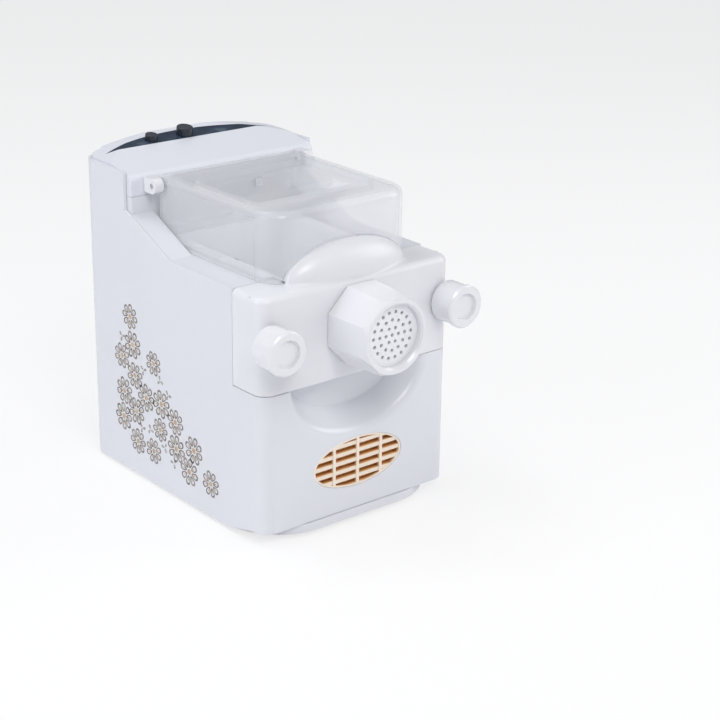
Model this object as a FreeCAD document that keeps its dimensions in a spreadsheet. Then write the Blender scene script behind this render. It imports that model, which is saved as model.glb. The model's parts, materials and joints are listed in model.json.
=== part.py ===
import FreeCAD, Part
import math
import os
import re
import Sketcher
from FreeCAD import Placement, Rotation, Vector

# Electric pasta maker, in millimetres: +Z up, the machine's front faces -Y,
# origin at the middle of the floor that it stands on.

# Driving sizes

SIZES = {
    # outer shell
    "body_width": 215, "body_depth": 280, "rear_bulge": 8, "shell_wall": 3,
    "front_corner": 14, "rear_corner": 18, "shell_bottom": 3, "chin_height": 12.5,
    "chin_flat": 18, "chin_run": 55, "seam_clearance": 1.5, "deck_rise": 41,
    "deck_run": 141, "step_rise": 31, "step_setback": 8, "side_drop": 12,
    "tower_depth": 78, "cover_depth": 43, "part_gap": 0.5, "seat_gap": 0.3,
    # recess under the nozzle
    "scoop_half_width": 76, "scoop_drop": 55, "scoop_back_half_width": 61.5,
    "scoop_back_drop": 36, "scoop_depth": 23, "scoop_rim_round": 10,
    "seam_round": 1,
    # front air vent
    "vent_half_width": 51, "vent_half_height": 24, "vent_height": 58,
    "louvre_pitch": 8.3, "louvre_height": 4.3, "rib_pitch": 27, "rib_width": 3,
    # head of the tower
    "head_seam_drop": 35, "head_fall": 16.3, "head_rise": 79,
    "head_round": 7, "crown_radius": 556, "rear_cover_inset": 22,
    "panel_half_width": 93, "panel_setback": 59, "panel_depth": 19.5,
    "panel_thickness": 2, "head_skin": 5,
    # front cover
    "cover_wall": 4, "cover_edge_round": 6, "hump_half_width": 66,
    "hump_rise": 31, "hump_blend": 4, "ledge_depth": 22, "backing_thickness": 4,
    # nozzle, die and nut, all on the mixing axis
    "axis_height": 191, "nut_reach": 50, "nut_base_radius": 39.5,
    "nut_face_radius": 36.5, "nut_nose_radius": 34, "nut_lip": 6, "nut_opening_radius": 28.5,
    "nozzle_radius": 30.5, "thread_clearance": 0.4, "nozzle_bore_radius": 18.6,
    "die_thickness": 6, "die_hole_radius": 1.7, "seal_thickness": 1.6,
    # clamp knobs
    "knob_inset": 7, "knob_radius": 20, "knob_reach": 28, "knob_dish_radius": 12.7,
    "knob_dish_depth": 3, "stud_radius": 4, "stud_length": 78, "insert_radius": 6,
    "boss_radius": 7, "insert_length": 18, "running_clearance": 0.06,
    # mixing tub and shaft
    "tub_bottom_radius": 44, "tub_wall": 2.5, "tub_flare": 18, "tub_rear_gap": 8,
    "tub_flange": 9, "mixer_radius": 8, "screw_radius": 18, "screw_pitch": 22,
    "screw_length": 60, "flight_thickness": 4, "paddle_reach": 40, "paddle_radius": 4.5,
    "drive_square": 9,
    # gears
    "slow_module": 2, "slow_pinion_teeth": 12, "slow_wheel_teeth": 46,
    "fast_module": 1.5, "fast_pinion_teeth": 12, "fast_wheel_teeth": 60,
    "gear_width": 13, "gear_backlash": 0.3, "gear_plate_setback": 5,
    "gear_plate_thickness": 4, "gearbox_wall": 3, "gear_air": 3.5,
    "output_shaft_radius": 7, "gear_pin_radius": 5, "bearing_ring": 5,
    # motor
    "motor_radius": 38, "motor_length": 84, "motor_wall": 2, "motor_shaft_radius": 4,
    "rotor_radius": 24, "rotor_air": 0.6, "fan_radius": 34, "fan_width": 12,
    # lid
    "lid_half_width": 80, "lid_rise": 64, "lid_wall": 2.5, "lid_front_corner": 26,
    "lid_rear_corner": 8, "lid_top_round": 8, "lid_rear_gap": 3,
    "hopper_half_width": 52, "hopper_length": 22, "hopper_run": 80,
    "recess_half_width": 66, "recess_start": 38, "recess_length": 102, "recess_depth": 6,
    "hopper_floor_rise": 33, "slot_half_width": 25, "slot_length": 10,
    "pin_radius": 2.5, "pin_drop": 9, "pin_setback": 13, "bracket_width": 9,
    # controls
    "selector_radius": 8, "selector_height": 8, "button_radius": 6,
    "button_height": 6, "button_travel": 1.2, "control_gap": 0.35,
    "button_offset": 38, "control_setback": 67,
    # base
    "base_side_inset": 1.5, "base_front_reach": 2, "base_corner": 58,
    "tray_floor": 3, "screw_post_inset": 9.5, "screw_post_front": 79,
    "screw_post_radius": 7.5, "screw_radius_small": 1.8,
    "foot_radius": 10, "foot_height": 4.2, "foot_inset": 34, "inlet_inset": 49.5,
    "board_inset": 19.5, "board_width": 66,
}

# Sizes that follow from the driving ones

FOLLOWING = {
    "seam_height": "axis_height - tub_bottom_radius - tub_wall - seam_clearance",
    "deck_height": "axis_height + deck_rise",
    "step_height": "deck_height + step_rise",
    "hopper_floor_height": "deck_height + hopper_floor_rise",
    "lid_height": "deck_height + lid_rise",
    "pin_height": "lid_height - pin_drop",
    "head_rear_height": "deck_height + head_rise",
    "side_height": "head_rear_height - side_drop",
    "head_front_height": "head_rear_height - head_fall",
    "head_seam_height": "head_rear_height - head_seam_drop",
    "knob_spacing": "body_width - 2 * knob_inset",
}

FRONT = "(-(body_depth + rear_bulge - nut_reach) / 2)"
REAR = f"({FRONT} + body_depth)"
HALF = "(body_width / 2)"
INSIDE = f"({HALF} - shell_wall)"
TOWER = f"({REAR} - tower_depth)"
STEP = f"({TOWER} + step_setback)"
COVER_BACK = f"({FRONT} + cover_depth)"
CREST = f"({FRONT} + ledge_depth)"
GEAR_PLATE = f"({TOWER} + gear_plate_setback)"
GEAR_FRONT = f"({GEAR_PLATE} + gear_plate_thickness + gear_air)"
SLOW_SPREAD = "(slow_module * (slow_pinion_teeth + slow_wheel_teeth) / 2)"
FAST_SPREAD = "(fast_module * (fast_pinion_teeth + fast_wheel_teeth) / 2)"
MIDDLE_AXIS = f"(axis_height - {SLOW_SPREAD})"
MOTOR_AXIS = f"({MIDDLE_AXIS} - {FAST_SPREAD})"
SLOW_FRONT = GEAR_FRONT
FAST_FRONT = f"({GEAR_FRONT} + gear_width + gear_air)"
GEARBOX_BACK = f"({FAST_FRONT} + gear_width + gear_air)"
MOTOR_FRONT = f"({GEAR_PLATE} - motor_length)"
TUB_REAR = f"({TOWER} - tub_rear_gap)"
TUB_FRONT = f"({CREST} + seal_thickness + seat_gap)"
NOZZLE_END = f"({FRONT} - nut_reach + nut_lip + die_thickness + seal_thickness + seat_gap)"
LID_FRONT = f"({CREST} + seat_gap)"
LID_REAR = f"({TOWER} - lid_rear_gap)"
PIN_Y = f"({TOWER} - pin_setback)"
CONTROL_Y = f"({TOWER} + control_setback)"

doc = FreeCAD.newDocument("PastaMaker")
sheet = doc.addObject("Spreadsheet::Sheet", "Sizes")
for row, (alias, value) in enumerate(SIZES.items(), 1):
    sheet.set(f"A{row}", alias)
    sheet.set(f"B{row}", f"{value:g}")
    sheet.setAlias(f"B{row}", alias)
for row, (alias, formula) in enumerate(FOLLOWING.items(), len(SIZES) + 1):
    sheet.set(f"A{row}", alias)
    sheet.set(f"B{row}", "=" + formula)
    sheet.setAlias(f"B{row}", alias)
doc.recompute()

pieces = []


# Helpers that tie shapes to the sheet

def tied(text):
    """The expression with every size name pointed at its cell."""
    return re.sub(r"[a-z]\w*", lambda found: "Sizes." + found[0] if found[0] in SIZES or found[0] in FOLLOWING
                  else found[0], str(text))


def size(text):
    """The present value of an expression in sizes."""
    return float(sheet.evalExpression(tied(text)))


def bind(thing, **properties):
    for name, text in properties.items():
        thing.setExpression(name.replace("__", "."), tied(text))
    return thing


def move(thing, x="0", y="0", z="0"):
    """Ties the place of a solid to expressions."""
    for axis, text in zip("xyz", (x, y, z)):
        thing.setExpression("Placement.Base." + axis, tied(text))
    return thing


def piece(thing, name):
    """Names a finished sub-part and puts it on the list that is written out."""
    thing.Label = name
    pieces.append(thing)
    return thing


def origin_part(body, role):
    return next(part for part in body.Origin.OriginFeatures if part.Role == role)


def empty_sketch(body, plane, offset):
    sketch = body.newObject("Sketcher::SketchObject", body.Name + "_sketch")
    sketch.AttachmentSupport = [(origin_part(body, plane), "")]
    sketch.MapMode = "FlatFace"
    sketch.setExpression("AttachmentOffset.Base.z", tied(offset))
    return sketch


def fix_point(sketch, geometry, end, place):
    """Ties one point of the sketch to a pair of expressions."""
    for kind, text in zip(("DistanceX", "DistanceY"), place):
        index = sketch.addConstraint(Sketcher.Constraint(kind, -1, 1, geometry, end, size(text)))
        sketch.setExpression(f"Constraints[{index}]", tied(text))


def polygon(body, plane, points, offset="0"):
    """Closed outline of straight edges, each corner tied to the sheet."""
    sketch = empty_sketch(body, plane, offset)
    corners = [Vector(size(x), size(y), 0) for x, y in points]
    for start, end in zip(corners, corners[1:] + corners[:1]):
        sketch.addGeometry(Part.LineSegment(start, end), False)
    for index in range(len(points)):
        following = (index + 1) % len(points)
        sketch.addConstraint(Sketcher.Constraint("Coincident", index, 2, following, 1))
        fix_point(sketch, index, 1, points[index])
    return sketch


def circles(body, plane, places, radius, offset="0"):
    """Equal circles, each centre and the radius tied to the sheet."""
    sketch = empty_sketch(body, plane, offset)
    for index, place in enumerate(places):
        centre = Vector(size(place[0]), size(place[1]), 0)
        sketch.addGeometry(Part.Circle(centre, Vector(0, 0, 1), size(radius)), False)
        fix_point(sketch, index, 3, place)
        number = sketch.addConstraint(Sketcher.Constraint("Radius", index, size(radius)))
        sketch.setExpression(f"Constraints[{number}]", tied(radius))
    return sketch


def pad_along(body, sketch, plane, low, high):
    """Pads a sketch that lies at the right end of its stretch."""
    pad = body.newObject("PartDesign::Pad", body.Name + "_pad")
    pad.Profile = sketch
    bind(pad, Length=f"({high}) - ({low})")
    sketch.Visibility = False
    body.Tip = pad
    return pad


def start_of(plane, low, high):
    """The XZ plane looks along -Y, so a pad on it starts at its high end."""
    return f"-({high})" if plane == "XZ_Plane" else low


def prism(name, plane, points, low, high):
    """A body whose outline is padded from low to high, square to its plane."""
    body = doc.addObject("PartDesign::Body", name)
    sketch = polygon(body, plane, points, start_of(plane, low, high))
    pad_along(body, sketch, plane, low, high)
    return body


def round_prism(name, plane, places, radius, low, high):
    body = doc.addObject("PartDesign::Body", name)
    sketch = circles(body, plane, places, radius, start_of(plane, low, high))
    pad_along(body, sketch, plane, low, high)
    return body


def fillet(body, radius, wanted):
    """Rounds the edges of a body's tip that the test picks out."""
    doc.recompute()
    tip = body.Tip
    names = [f"Edge{number}" for number, edge in enumerate(tip.Shape.Edges, 1) if wanted(edge)]
    rounding = body.newObject("PartDesign::Fillet", body.Name + "_fillet")
    rounding.Base = (tip, names)
    bind(rounding, Radius=radius)
    body.Tip = rounding
    return body


def chamfer(body, length, wanted):
    doc.recompute()
    tip = body.Tip
    names = [f"Edge{number}" for number, edge in enumerate(tip.Shape.Edges, 1) if wanted(edge)]
    bevel = body.newObject("PartDesign::Chamfer", body.Name + "_chamfer")
    bevel.Base = (tip, names)
    bind(bevel, Size=length)
    body.Tip = bevel
    return body


def round_edges(name, base, radius, wanted):
    """Rounds the edges of a finished solid that the test picks out."""
    doc.recompute()
    rounding = doc.addObject("Part::Fillet", name)
    rounding.Base = base
    value = size(radius)
    rounding.Edges = [(number, value, value) for number, edge in enumerate(base.Shape.Edges, 1) if wanted(edge)]
    return rounding


def turned(name, points, x="0", y="0", z="axis_height"):
    """A body turned about an axis along Y; each point is radius, distance along Y."""
    body = doc.addObject("PartDesign::Body", name)
    sketch = polygon(body, "XY_Plane", points)
    turn = body.newObject("PartDesign::Revolution", name + "_turn")
    turn.Profile = sketch
    turn.ReferenceAxis = (origin_part(body, "Y_Axis"), [""])
    turn.Angle = 360
    body.Tip = turn
    return move(body, x, y, z)


def box(name, x, y, z):
    """A block; x, y and z are its low and high ends."""
    block = doc.addObject("Part::Box", name)
    for side, ends in zip(("Length", "Width", "Height"), (x, y, z)):
        bind(block, **{side: f"({ends[1]}) - ({ends[0]})"})
    return move(block, x[0], y[0], z[0])


TURNS = {
    "x": Rotation(Vector(0, 1, 0), 90),
    "y": Rotation(Vector(1, 0, 0), -90),
    "z": Rotation(),
}


def rod(name, axis, radius, low, high, a, b):
    """A cylinder along an axis from low to high; a and b are its other two places, in X, Y, Z order."""
    cylinder = doc.addObject("Part::Cylinder", name)
    cylinder.Placement = Placement(Vector(), TURNS[axis])
    bind(cylinder, Radius=radius, Height=f"({high}) - ({low})")
    places = {"x": (low, a, b), "y": (a, low, b), "z": (a, b, low)}[axis]
    return move(cylinder, *places)


def join(name, *things):
    union = doc.addObject("Part::MultiFuse", name)
    union.Shapes = list(things)
    return union


def overlap(name, *things):
    shared = doc.addObject("Part::MultiCommon", name)
    shared.Shapes = list(things)
    return shared


def cut(name, base, *tools):
    result = doc.addObject("Part::Cut", name)
    result.Base = base
    result.Tool = tools[0] if len(tools) == 1 else join(name + "_tools", *tools)
    return result


def computed(name, shape, x="0", y="0", z="0"):
    """A shape worked out in code from the sheet's values."""
    feature = doc.addObject("Part::Feature", name)
    feature.Shape = shape
    return move(feature, x, y, z)


def both_sides(name, make):
    """Two mirror pieces: make(name, sign) with the sign as text."""
    return [make(name + "_left", "-1"), make(name + "_right", "1")]


def side_span(sign, near, far):
    """Low and high X of a span that lies near..far from the middle plane."""
    return (near, far) if sign == "1" else (f"-({far})", f"-({near})")


def upright(edge):
    return abs(edge.tangentAt(edge.FirstParameter).z) > 0.99


def along_x(edge):
    return abs(edge.tangentAt(edge.FirstParameter).x) > 0.99


def along_face(edge):
    """Whether an edge lies in the plane of the machine's front face."""
    return max(abs(edge.BoundBox.YMin - size(FRONT)), abs(edge.BoundBox.YMax - size(FRONT))) < 0.01


def level_at(edge, height):
    """Whether an edge lies at one height."""
    return max(abs(edge.BoundBox.ZMin - size(height)), abs(edge.BoundBox.ZMax - size(height))) < 0.01


# Outlines that several pieces share

def plan_body(name, inset, low, high):
    """The machine's plan outline, drawn in by inset, from low to high; the rear side bulges."""
    body = doc.addObject("PartDesign::Body", name)
    sketch = empty_sketch(body, "XY_Plane", low)
    half = f"({HALF} - {inset})"
    front = f"({FRONT} + {inset})"
    rear = f"({REAR} - {inset})"
    places = [(f"-{half}", rear), (f"-{half}", front), (half, front), (half, rear)]
    corners = [Vector(size(x), size(y), 0) for x, y in places]
    for start, end in zip(corners, corners[1:]):
        sketch.addGeometry(Part.LineSegment(start, end), False)
    apex = Vector(0, size(f"{rear} + rear_bulge"), 0)
    sketch.addGeometry(Part.Arc(corners[3], apex, corners[0]), False)
    for index in range(3):
        sketch.addConstraint(Sketcher.Constraint("Coincident", index, 2, index + 1, 1))
        fix_point(sketch, index, 1, places[index])
    sketch.addConstraint(Sketcher.Constraint("Coincident", 3, 2, 0, 1))
    fix_point(sketch, 2, 2, places[3])
    bow = f"({half}^2 + rear_bulge^2) / (2 * rear_bulge)"
    number = sketch.addConstraint(Sketcher.Constraint("Radius", 3, size(bow)))
    sketch.setExpression(f"Constraints[{number}]", tied(bow))
    pad_along(body, sketch, "XY_Plane", low, high)
    fillet(body, f"front_corner - {inset}", lambda edge: upright(edge) and edge.CenterOfMass.y < 0)
    fillet(body, f"rear_corner - {inset}", lambda edge: upright(edge) and edge.CenterOfMass.y > size(TOWER))
    return body


def head_envelope(name, drop):
    """Everything under the crowned, sloping top of the head, lowered by drop."""
    low = f"{FRONT}"
    side = prism(name + "_side", "YZ_Plane", [
        (TOWER + f"+ {drop}", low),
        (TOWER + f"+ {drop}", f"head_front_height - {drop}"),
        (f"{REAR} + rear_bulge + head_skin", f"head_rear_height - {drop}"),
        (f"{REAR} + rear_bulge + head_skin", low),
    ], f"-{HALF}", HALF)
    fillet(side, "head_round", lambda edge: along_x(edge)
           and edge.CenterOfMass.z > size("side_height") - 10 and edge.CenterOfMass.y < size(REAR))
    crown = rod(name + "_crown", "y", "crown_radius", f"{FRONT}", f"{REAR} + body_depth",
                "0", f"head_rear_height - {drop} - crown_radius")
    return overlap(name, side, crown)


def half_ellipse(half_width, drop, y, top):
    """The lower half of an upright ellipse, closed along its long axis."""
    curve = Part.Ellipse(Vector(), half_width, drop)
    arc = Part.ArcOfEllipse(curve, math.pi, 2 * math.pi).toShape()
    ends = [arc.Vertexes[-1].Point, arc.Vertexes[0].Point]
    wire = Part.Wire([arc, Part.LineSegment(*ends).toShape()])
    wire.rotate(Vector(), Vector(1, 0, 0), 90)
    wire.translate(Vector(0, y, top))
    return wire


def scoop_shape(margin):
    """The tapered recess under the nozzle, grown all round by margin."""
    depth = size("scoop_depth")
    front_size = (size("scoop_half_width"), size("scoop_drop"))
    back_size = (size("scoop_back_half_width"), size("scoop_back_drop"))
    wires = []
    for distance in (-1.0, depth):
        share = distance / depth
        half_width, drop = (front + (back - front) * share for front, back in zip(front_size, back_size))
        y = size(FRONT) + distance + (margin if distance > 0 else 0)
        wires.append(half_ellipse(half_width + margin, drop + margin, y, size("seam_height")))
    return Part.makeLoft(wires, True, True)


def oval_prism(half_width, half_height, low, high, z):
    """An upright ellipse drawn out along Y from low to high."""
    curve = Part.Wire([Part.Ellipse(Vector(), half_width, half_height).toShape()])
    curve.rotate(Vector(), Vector(1, 0, 0), 90)
    curve.translate(Vector(0, low, z))
    return Part.Face(curve).extrude(Vector(0, high - low, 0))


# Outer shell with both side walls, the lower front and the shelf under the tub

profile = prism("side_profile", "YZ_Plane", [
    (f"{FRONT} - 1", "chin_height"),
    (f"{FRONT} + chin_flat", "chin_height"),
    (f"{FRONT} + chin_run", "shell_bottom"),
    (f"{REAR} + rear_bulge + 1", "shell_bottom"),
    (f"{REAR} + rear_bulge + 1", "side_height"),
    (STEP, "side_height"),
    (STEP, "step_height"),
    (f"{FRONT} + deck_run", "deck_height"),
    (COVER_BACK, "deck_height"),
    (COVER_BACK, "seam_height"),
    (f"{FRONT} - 1", "seam_height"),
], f"-{HALF} - 1", f"{HALF} + 1")
outside = plan_body("shell_outside", "0", "0", "head_rear_height")
inside = plan_body("shell_inside", "shell_wall", "-1", "head_rear_height + 1")
ring = cut("shell_ring", overlap("shell_blank", outside, profile), inside)
shelf = overlap(
    "shell_shelf", plan_body("shelf_plan", "1", "seam_height - shell_wall", "seam_height"),
    box("shelf_block", (f"-{HALF}", HALF), (FRONT, f"{TOWER} - tub_rear_gap"),
        ("seam_height - shell_wall", "seam_height")))
scoop_skin = overlap(
    "scoop_skin", computed("scoop_outer", scoop_shape(size("shell_wall"))),
    box("scoop_block", (f"-{INSIDE}", INSIDE), (f"{FRONT} + 1", TOWER), ("shell_bottom", "seam_height")))
boss_y = (COVER_BACK, f"{COVER_BACK} + insert_length + shell_wall")
bosses = [rod("insert_boss" + side, "y", "boss_radius", *boss_y, f"{sign} knob_spacing / 2", "axis_height")
          for side, sign in (("_left", "-"), ("_right", "+"))]
boss_holes = [rod("insert_hole" + side, "y", "insert_radius", f"{boss_y[0]} - 1", f"{boss_y[0]} + insert_length",
                  f"{sign} knob_spacing / 2", "axis_height") for side, sign in (("_left", "-"), ("_right", "+"))]
stud_room = [rod("stud_room" + side, "y", "stud_radius + 1", f"{boss_y[0]} - 1", f"{boss_y[1]} + 1",
                 f"{sign} knob_spacing / 2", "axis_height") for side, sign in (("_left", "-"), ("_right", "+"))]
rear_opening = box("rear_opening", (f"-({HALF} - rear_cover_inset)", f"{HALF} - rear_cover_inset"),
                   (f"{REAR} - rear_corner", f"{REAR} + rear_bulge + 1"), ("-1", "side_height + 1"))
vent_hole = computed("vent_hole", oval_prism(
    size("vent_half_width"), size("vent_half_height"), size(FRONT) - 1,
    size(f"{FRONT} + shell_wall") + 1, size("vent_height")))
scoop_tool = computed("scoop_tool", scoop_shape(0))


def base_plan(name, inset, low, high):
    """The base's plan outline, with wide round front corners, drawn in by inset."""
    body = doc.addObject("PartDesign::Body", name)
    half = f"({HALF} - base_side_inset - {inset})"
    front = f"({FRONT} - base_front_reach + {inset})"
    back = f"({REAR} + rear_bulge + 1)"
    sketch = polygon(body, "XY_Plane", [(f"-{half}", front), (half, front), (half, back), (f"-{half}", back)], low)
    pad_along(body, sketch, "XY_Plane", low, high)
    return fillet(body, f"base_corner - {inset}", lambda edge: upright(edge) and edge.CenterOfMass.y < 0)


chin_plate = cut("chin_plate", overlap("chin_blank", prism("chin_profile", "YZ_Plane", [
    (f"{FRONT} + 1", "chin_height"),
    (f"{FRONT} + chin_flat", "chin_height"),
    (f"{FRONT} + chin_run", "shell_bottom"),
    (f"{FRONT} + chin_run", "shell_bottom + shell_wall"),
    (f"{FRONT} + chin_flat", "chin_height + shell_wall"),
    (f"{FRONT} + 1", "chin_height + shell_wall"),
], f"-{HALF}", HALF), plan_body("chin_plan", "1", "0", "2 * chin_height")),
    base_plan("chin_cutter", "(-part_gap)", "0", "chin_height"))
TRAY_TOP = "(foot_height + tray_floor)"
POST_X = f"({HALF} - screw_post_inset)"
base_posts = [(f"{sign} {POST_X}", y) for sign in "-+" for y in (f"{FRONT} + screw_post_front", f"{REAR} - 51")]
post_solids = [rod(f"base_post_{number}", "z", "screw_post_radius", f"{TRAY_TOP} + seat_gap", f"{TRAY_TOP} + 25", *place)
               for number, place in enumerate(base_posts)]
post_bores = [rod(f"base_bore_{number}", "z", "screw_radius_small + running_clearance", TRAY_TOP,
                  f"{TRAY_TOP} + 21", *place) for number, place in enumerate(base_posts)]
REAR_SCREW_X = f"({HALF} - rear_corner)"
rear_screws = [(f"{sign} {REAR_SCREW_X}", z) for sign in "-+" for z in ("30", "side_height - 39")]
rear_screw_holes = [rod(f"rear_screw_hole_{number}", "y", "screw_radius_small + part_gap",
                        f"{REAR} - 10", f"{REAR} + rear_bulge", *place) for number, place in enumerate(rear_screws)]
shell = cut("shell_cut", join("shell_sum", ring, shelf, scoop_skin, chin_plate, *bosses, *post_solids),
            scoop_tool, vent_hole, rear_opening, *boss_holes, *stud_room, *post_bores, *rear_screw_holes)
rim = round_edges("scoop_rim", shell, "scoop_rim_round", lambda edge: along_face(edge)
                  and edge.BoundBox.ZMax > size("seam_height") - 1 and edge.BoundBox.ZLength > 10)
seam = round_edges("seam_edge", rim, "seam_round", lambda edge: level_at(edge, "seam_height")
                   and edge.CenterOfMass.y < size(COVER_BACK) and edge.Length > 8
                   and (along_face(edge) or abs(edge.CenterOfMass.x) > size(f"{HALF} - front_corner / 2")))
piece(seam, "main_housing")


def tub_half(radius, height):
    """Half width of the flared trough of this bottom radius at a height."""
    return f"({radius} / cos(tub_flare) + ({height} - axis_height) * tan(tub_flare))"


def trough(name, radius, top, front, rear):
    """The tub's U-shaped space: a round bottom on the mixing axis and flared walls."""
    bottom = overlap(name + "_bottom", rod(name + "_round", "y", radius, front, rear, "0", "axis_height"),
                     box(name + "_lower", ("-body_width", "body_width"), (front, rear), ("0", "axis_height")))
    tangent_x = f"({radius}) * cos(tub_flare)"
    tangent_z = f"axis_height - ({radius}) * sin(tub_flare)"
    walls = prism(name + "_walls", "XZ_Plane", [
        (f"-{tangent_x}", tangent_z), (tangent_x, tangent_z),
        (tub_half(radius, top), top), (f"-{tub_half(radius, top)}", top)], front, rear)
    return join(name, bottom, walls)


# Rear cover, held behind the edges of the rear opening

COVER_HALF = f"({HALF} - rear_cover_inset - part_gap)"
COVER_LOW = "(foot_height + tray_floor + 5)"
LIP = "(shell_wall + seat_gap)"
rear_reach = (f"{REAR} - rear_corner - 6", f"{REAR} + rear_bulge + 1")


def rear_sheet(name, outer, inner, reach, low, high):
    """A stretch of the rear wall's curve between two insets and |X| within reach."""
    sheet_ring = cut(name + "_ring", plan_body(name + "_outer", outer, low, high),
                     plan_body(name + "_inner", inner, "-1", f"{high} + 1"))
    return overlap(name, sheet_ring, box(name + "_block", (f"-{reach}", reach), rear_reach, ("0", high)))


rear_panel = rear_sheet("rear_panel", "0", "shell_wall", COVER_HALF, COVER_LOW, "side_height")
rear_flange = rear_sheet("rear_flange", LIP, f"({LIP} + 2)", f"({COVER_HALF} + 9)", COVER_LOW, "head_seam_height")
rear_bridge = cut("rear_bridge", rear_sheet("rear_band", "0", f"({LIP} + 2)", COVER_HALF, COVER_LOW,
                                            "head_seam_height"),
                  box("rear_hollow", (f"-({COVER_HALF} - 4)", f"{COVER_HALF} - 4"), rear_reach, (
                      f"{COVER_LOW} + 4", "side_height")))
rear_hollow = cut("rear_open_flange", rear_flange, box(
    "rear_flange_hollow", (f"-({COVER_HALF} - 4)", f"{COVER_HALF} - 4"), rear_reach, (f"{COVER_LOW} + 4", "side_height")))
INLET_X = f"-({HALF} - inlet_inset)"
INLET_Z = "42"
rear_slots = [box(f"rear_slot_{row}", ("-34", "34"), (f"{REAR} - 10", f"{REAR} + rear_bulge + 1"),
                  (f"84 + {row} * 9", f"84 + {row} * 9 + 3.6")) for row in range(7)]
inlet_hole = box("inlet_hole", (f"{INLET_X} - 14", f"{INLET_X} + 14"),
                 (f"{REAR} - 10", f"{REAR} + rear_bulge + 1"), (f"{INLET_Z} - 10.5", f"{INLET_Z} + 10.5"))
rear_posts = [rod(f"rear_post_{number}", "y", "screw_radius_small + 2.7", f"{REAR} - 15", f"{REAR} - 2", *place)
              for number, place in enumerate(rear_screws)]
rear_bores = [rod(f"rear_bore_{number}", "y", "screw_radius_small + running_clearance", f"{REAR} - 13",
                  f"{REAR} + 4", *place) for number, place in enumerate(rear_screws)]
rear_post_limit = plan_body("rear_post_limit", LIP, "0", "side_height")
rear_post_solids = overlap("rear_post_set", join("rear_post_join", *rear_posts), rear_post_limit)
piece(cut("rear_cut", join("rear_sum", rear_panel, rear_hollow, rear_bridge, rear_post_solids),
          inlet_hole, *rear_slots, *rear_bores), "rear_cover")
REAR_SEAT = f"({REAR} + rear_bulge * (1 - ({REAR_SCREW_X} / {HALF})^2) + 0.8)"
rear_shanks = [rod(f"rear_shank_{number}", "y", "screw_radius_small", f"{REAR} - 11", f"{REAR_SEAT} + 0.5", *place)
               for number, place in enumerate(rear_screws)]
rear_heads = [rod(f"rear_head_{number}", "y", "2 * screw_radius_small", REAR_SEAT, f"{REAR_SEAT} + 1.6", *place)
              for number, place in enumerate(rear_screws)]
piece(join("rear_screw_set", *[join(f"rear_screw_{number}", *pair)
                               for number, pair in enumerate(zip(rear_shanks, rear_heads))]), "rear_screws")


# Deck round the tub, with the raised wedge beside each side wall

DECK_HALF = f"({INSIDE} - seat_gap)"
SLOPE_Y = f"({FRONT} + deck_run)"
WEDGE_TOP = f"(deck_height + (step_height - deck_height) * ({TOWER} - {SLOPE_Y}) / ({STEP} - {SLOPE_Y}))"
TUB_TOP = "(deck_height + seat_gap + 2)"
TUB_OUTER = tub_half("(tub_bottom_radius + tub_wall)", TUB_TOP)
deck_parts = [
    box("deck_flat", (f"-{DECK_HALF}", DECK_HALF), (f"{COVER_BACK} + part_gap", f"{TOWER} + shell_wall"),
        ("deck_height - shell_wall", "deck_height")),
    box("deck_wall", (f"-{DECK_HALF}", DECK_HALF), (TOWER, f"{TOWER} + shell_wall"),
        ("deck_height - shell_wall", "head_seam_height")),
]
for sign in ("-1", "1"):
    tag = "left" if sign == "-1" else "right"
    deck_parts.append(prism("wedge_plate_" + tag, "YZ_Plane", [
        (SLOPE_Y, "deck_height"), (TOWER, WEDGE_TOP), (TOWER, f"{WEDGE_TOP} - shell_wall"),
        (SLOPE_Y, "deck_height - shell_wall")], *side_span(sign, "lid_half_width + 1", DECK_HALF)))
    deck_parts.append(prism("wedge_cheek_" + tag, "YZ_Plane", [
        (SLOPE_Y, "deck_height - 1"), (TOWER, "deck_height - 1"), (TOWER, WEDGE_TOP)],
        *side_span(sign, "lid_half_width + 1", "lid_half_width + 1 + shell_wall")))
    deck_parts.append(box("deck_return_" + tag, side_span(sign, f"{DECK_HALF} - shell_wall", DECK_HALF),
                          (TOWER, f"{STEP} + shell_wall"), (f"{WEDGE_TOP} - shell_wall", "head_seam_height")))
tub_opening = box("tub_opening", (f"-({TUB_OUTER} + part_gap)", f"{TUB_OUTER} + part_gap"),
                  (f"{COVER_BACK} - 5", f"{TUB_REAR} + part_gap"), ("seam_height", "deck_height + 1"))
piece(cut("deck_cut", join("deck_sum", *deck_parts), tub_opening), "top_deck")


# Head of the tower and the dark lens let into it

SURFACE_SLOPE = "((head_rear_height - head_front_height) / (tower_depth + rear_bulge + head_skin))"
SURFACE_Z = f"(head_front_height + {SURFACE_SLOPE} * control_setback)"
PANEL_FRONT = f"({TOWER} + panel_setback)"


def lens_body(name, margin):
    """A lens in plan with a straight front edge and a bowed rear edge."""
    body = doc.addObject("PartDesign::Body", name)
    sketch = empty_sketch(body, "XY_Plane", "side_height - 20")
    half = f"(panel_half_width + 5 * {margin})"
    front = f"({PANEL_FRONT} - {margin})"
    bow = f"(panel_depth + 2 * {margin})"
    left = Vector(-size(half), size(front), 0)
    right = Vector(size(half), size(front), 0)
    apex = Vector(0, size(f"{front} + {bow}"), 0)
    sketch.addGeometry(Part.LineSegment(left, right), False)
    sketch.addGeometry(Part.Arc(right, apex, left), False)
    sketch.addConstraint(Sketcher.Constraint("Coincident", 0, 2, 1, 1))
    sketch.addConstraint(Sketcher.Constraint("Coincident", 1, 2, 0, 1))
    fix_point(sketch, 0, 1, (f"-{half}", front))
    fix_point(sketch, 0, 2, (half, front))
    radius = f"({half}^2 + {bow}^2) / (2 * {bow})"
    number = sketch.addConstraint(Sketcher.Constraint("Radius", 1, size(radius)))
    sketch.setExpression(f"Constraints[{number}]", tied(radius))
    pad_along(body, sketch, "XY_Plane", "0", "60")
    return body


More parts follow.
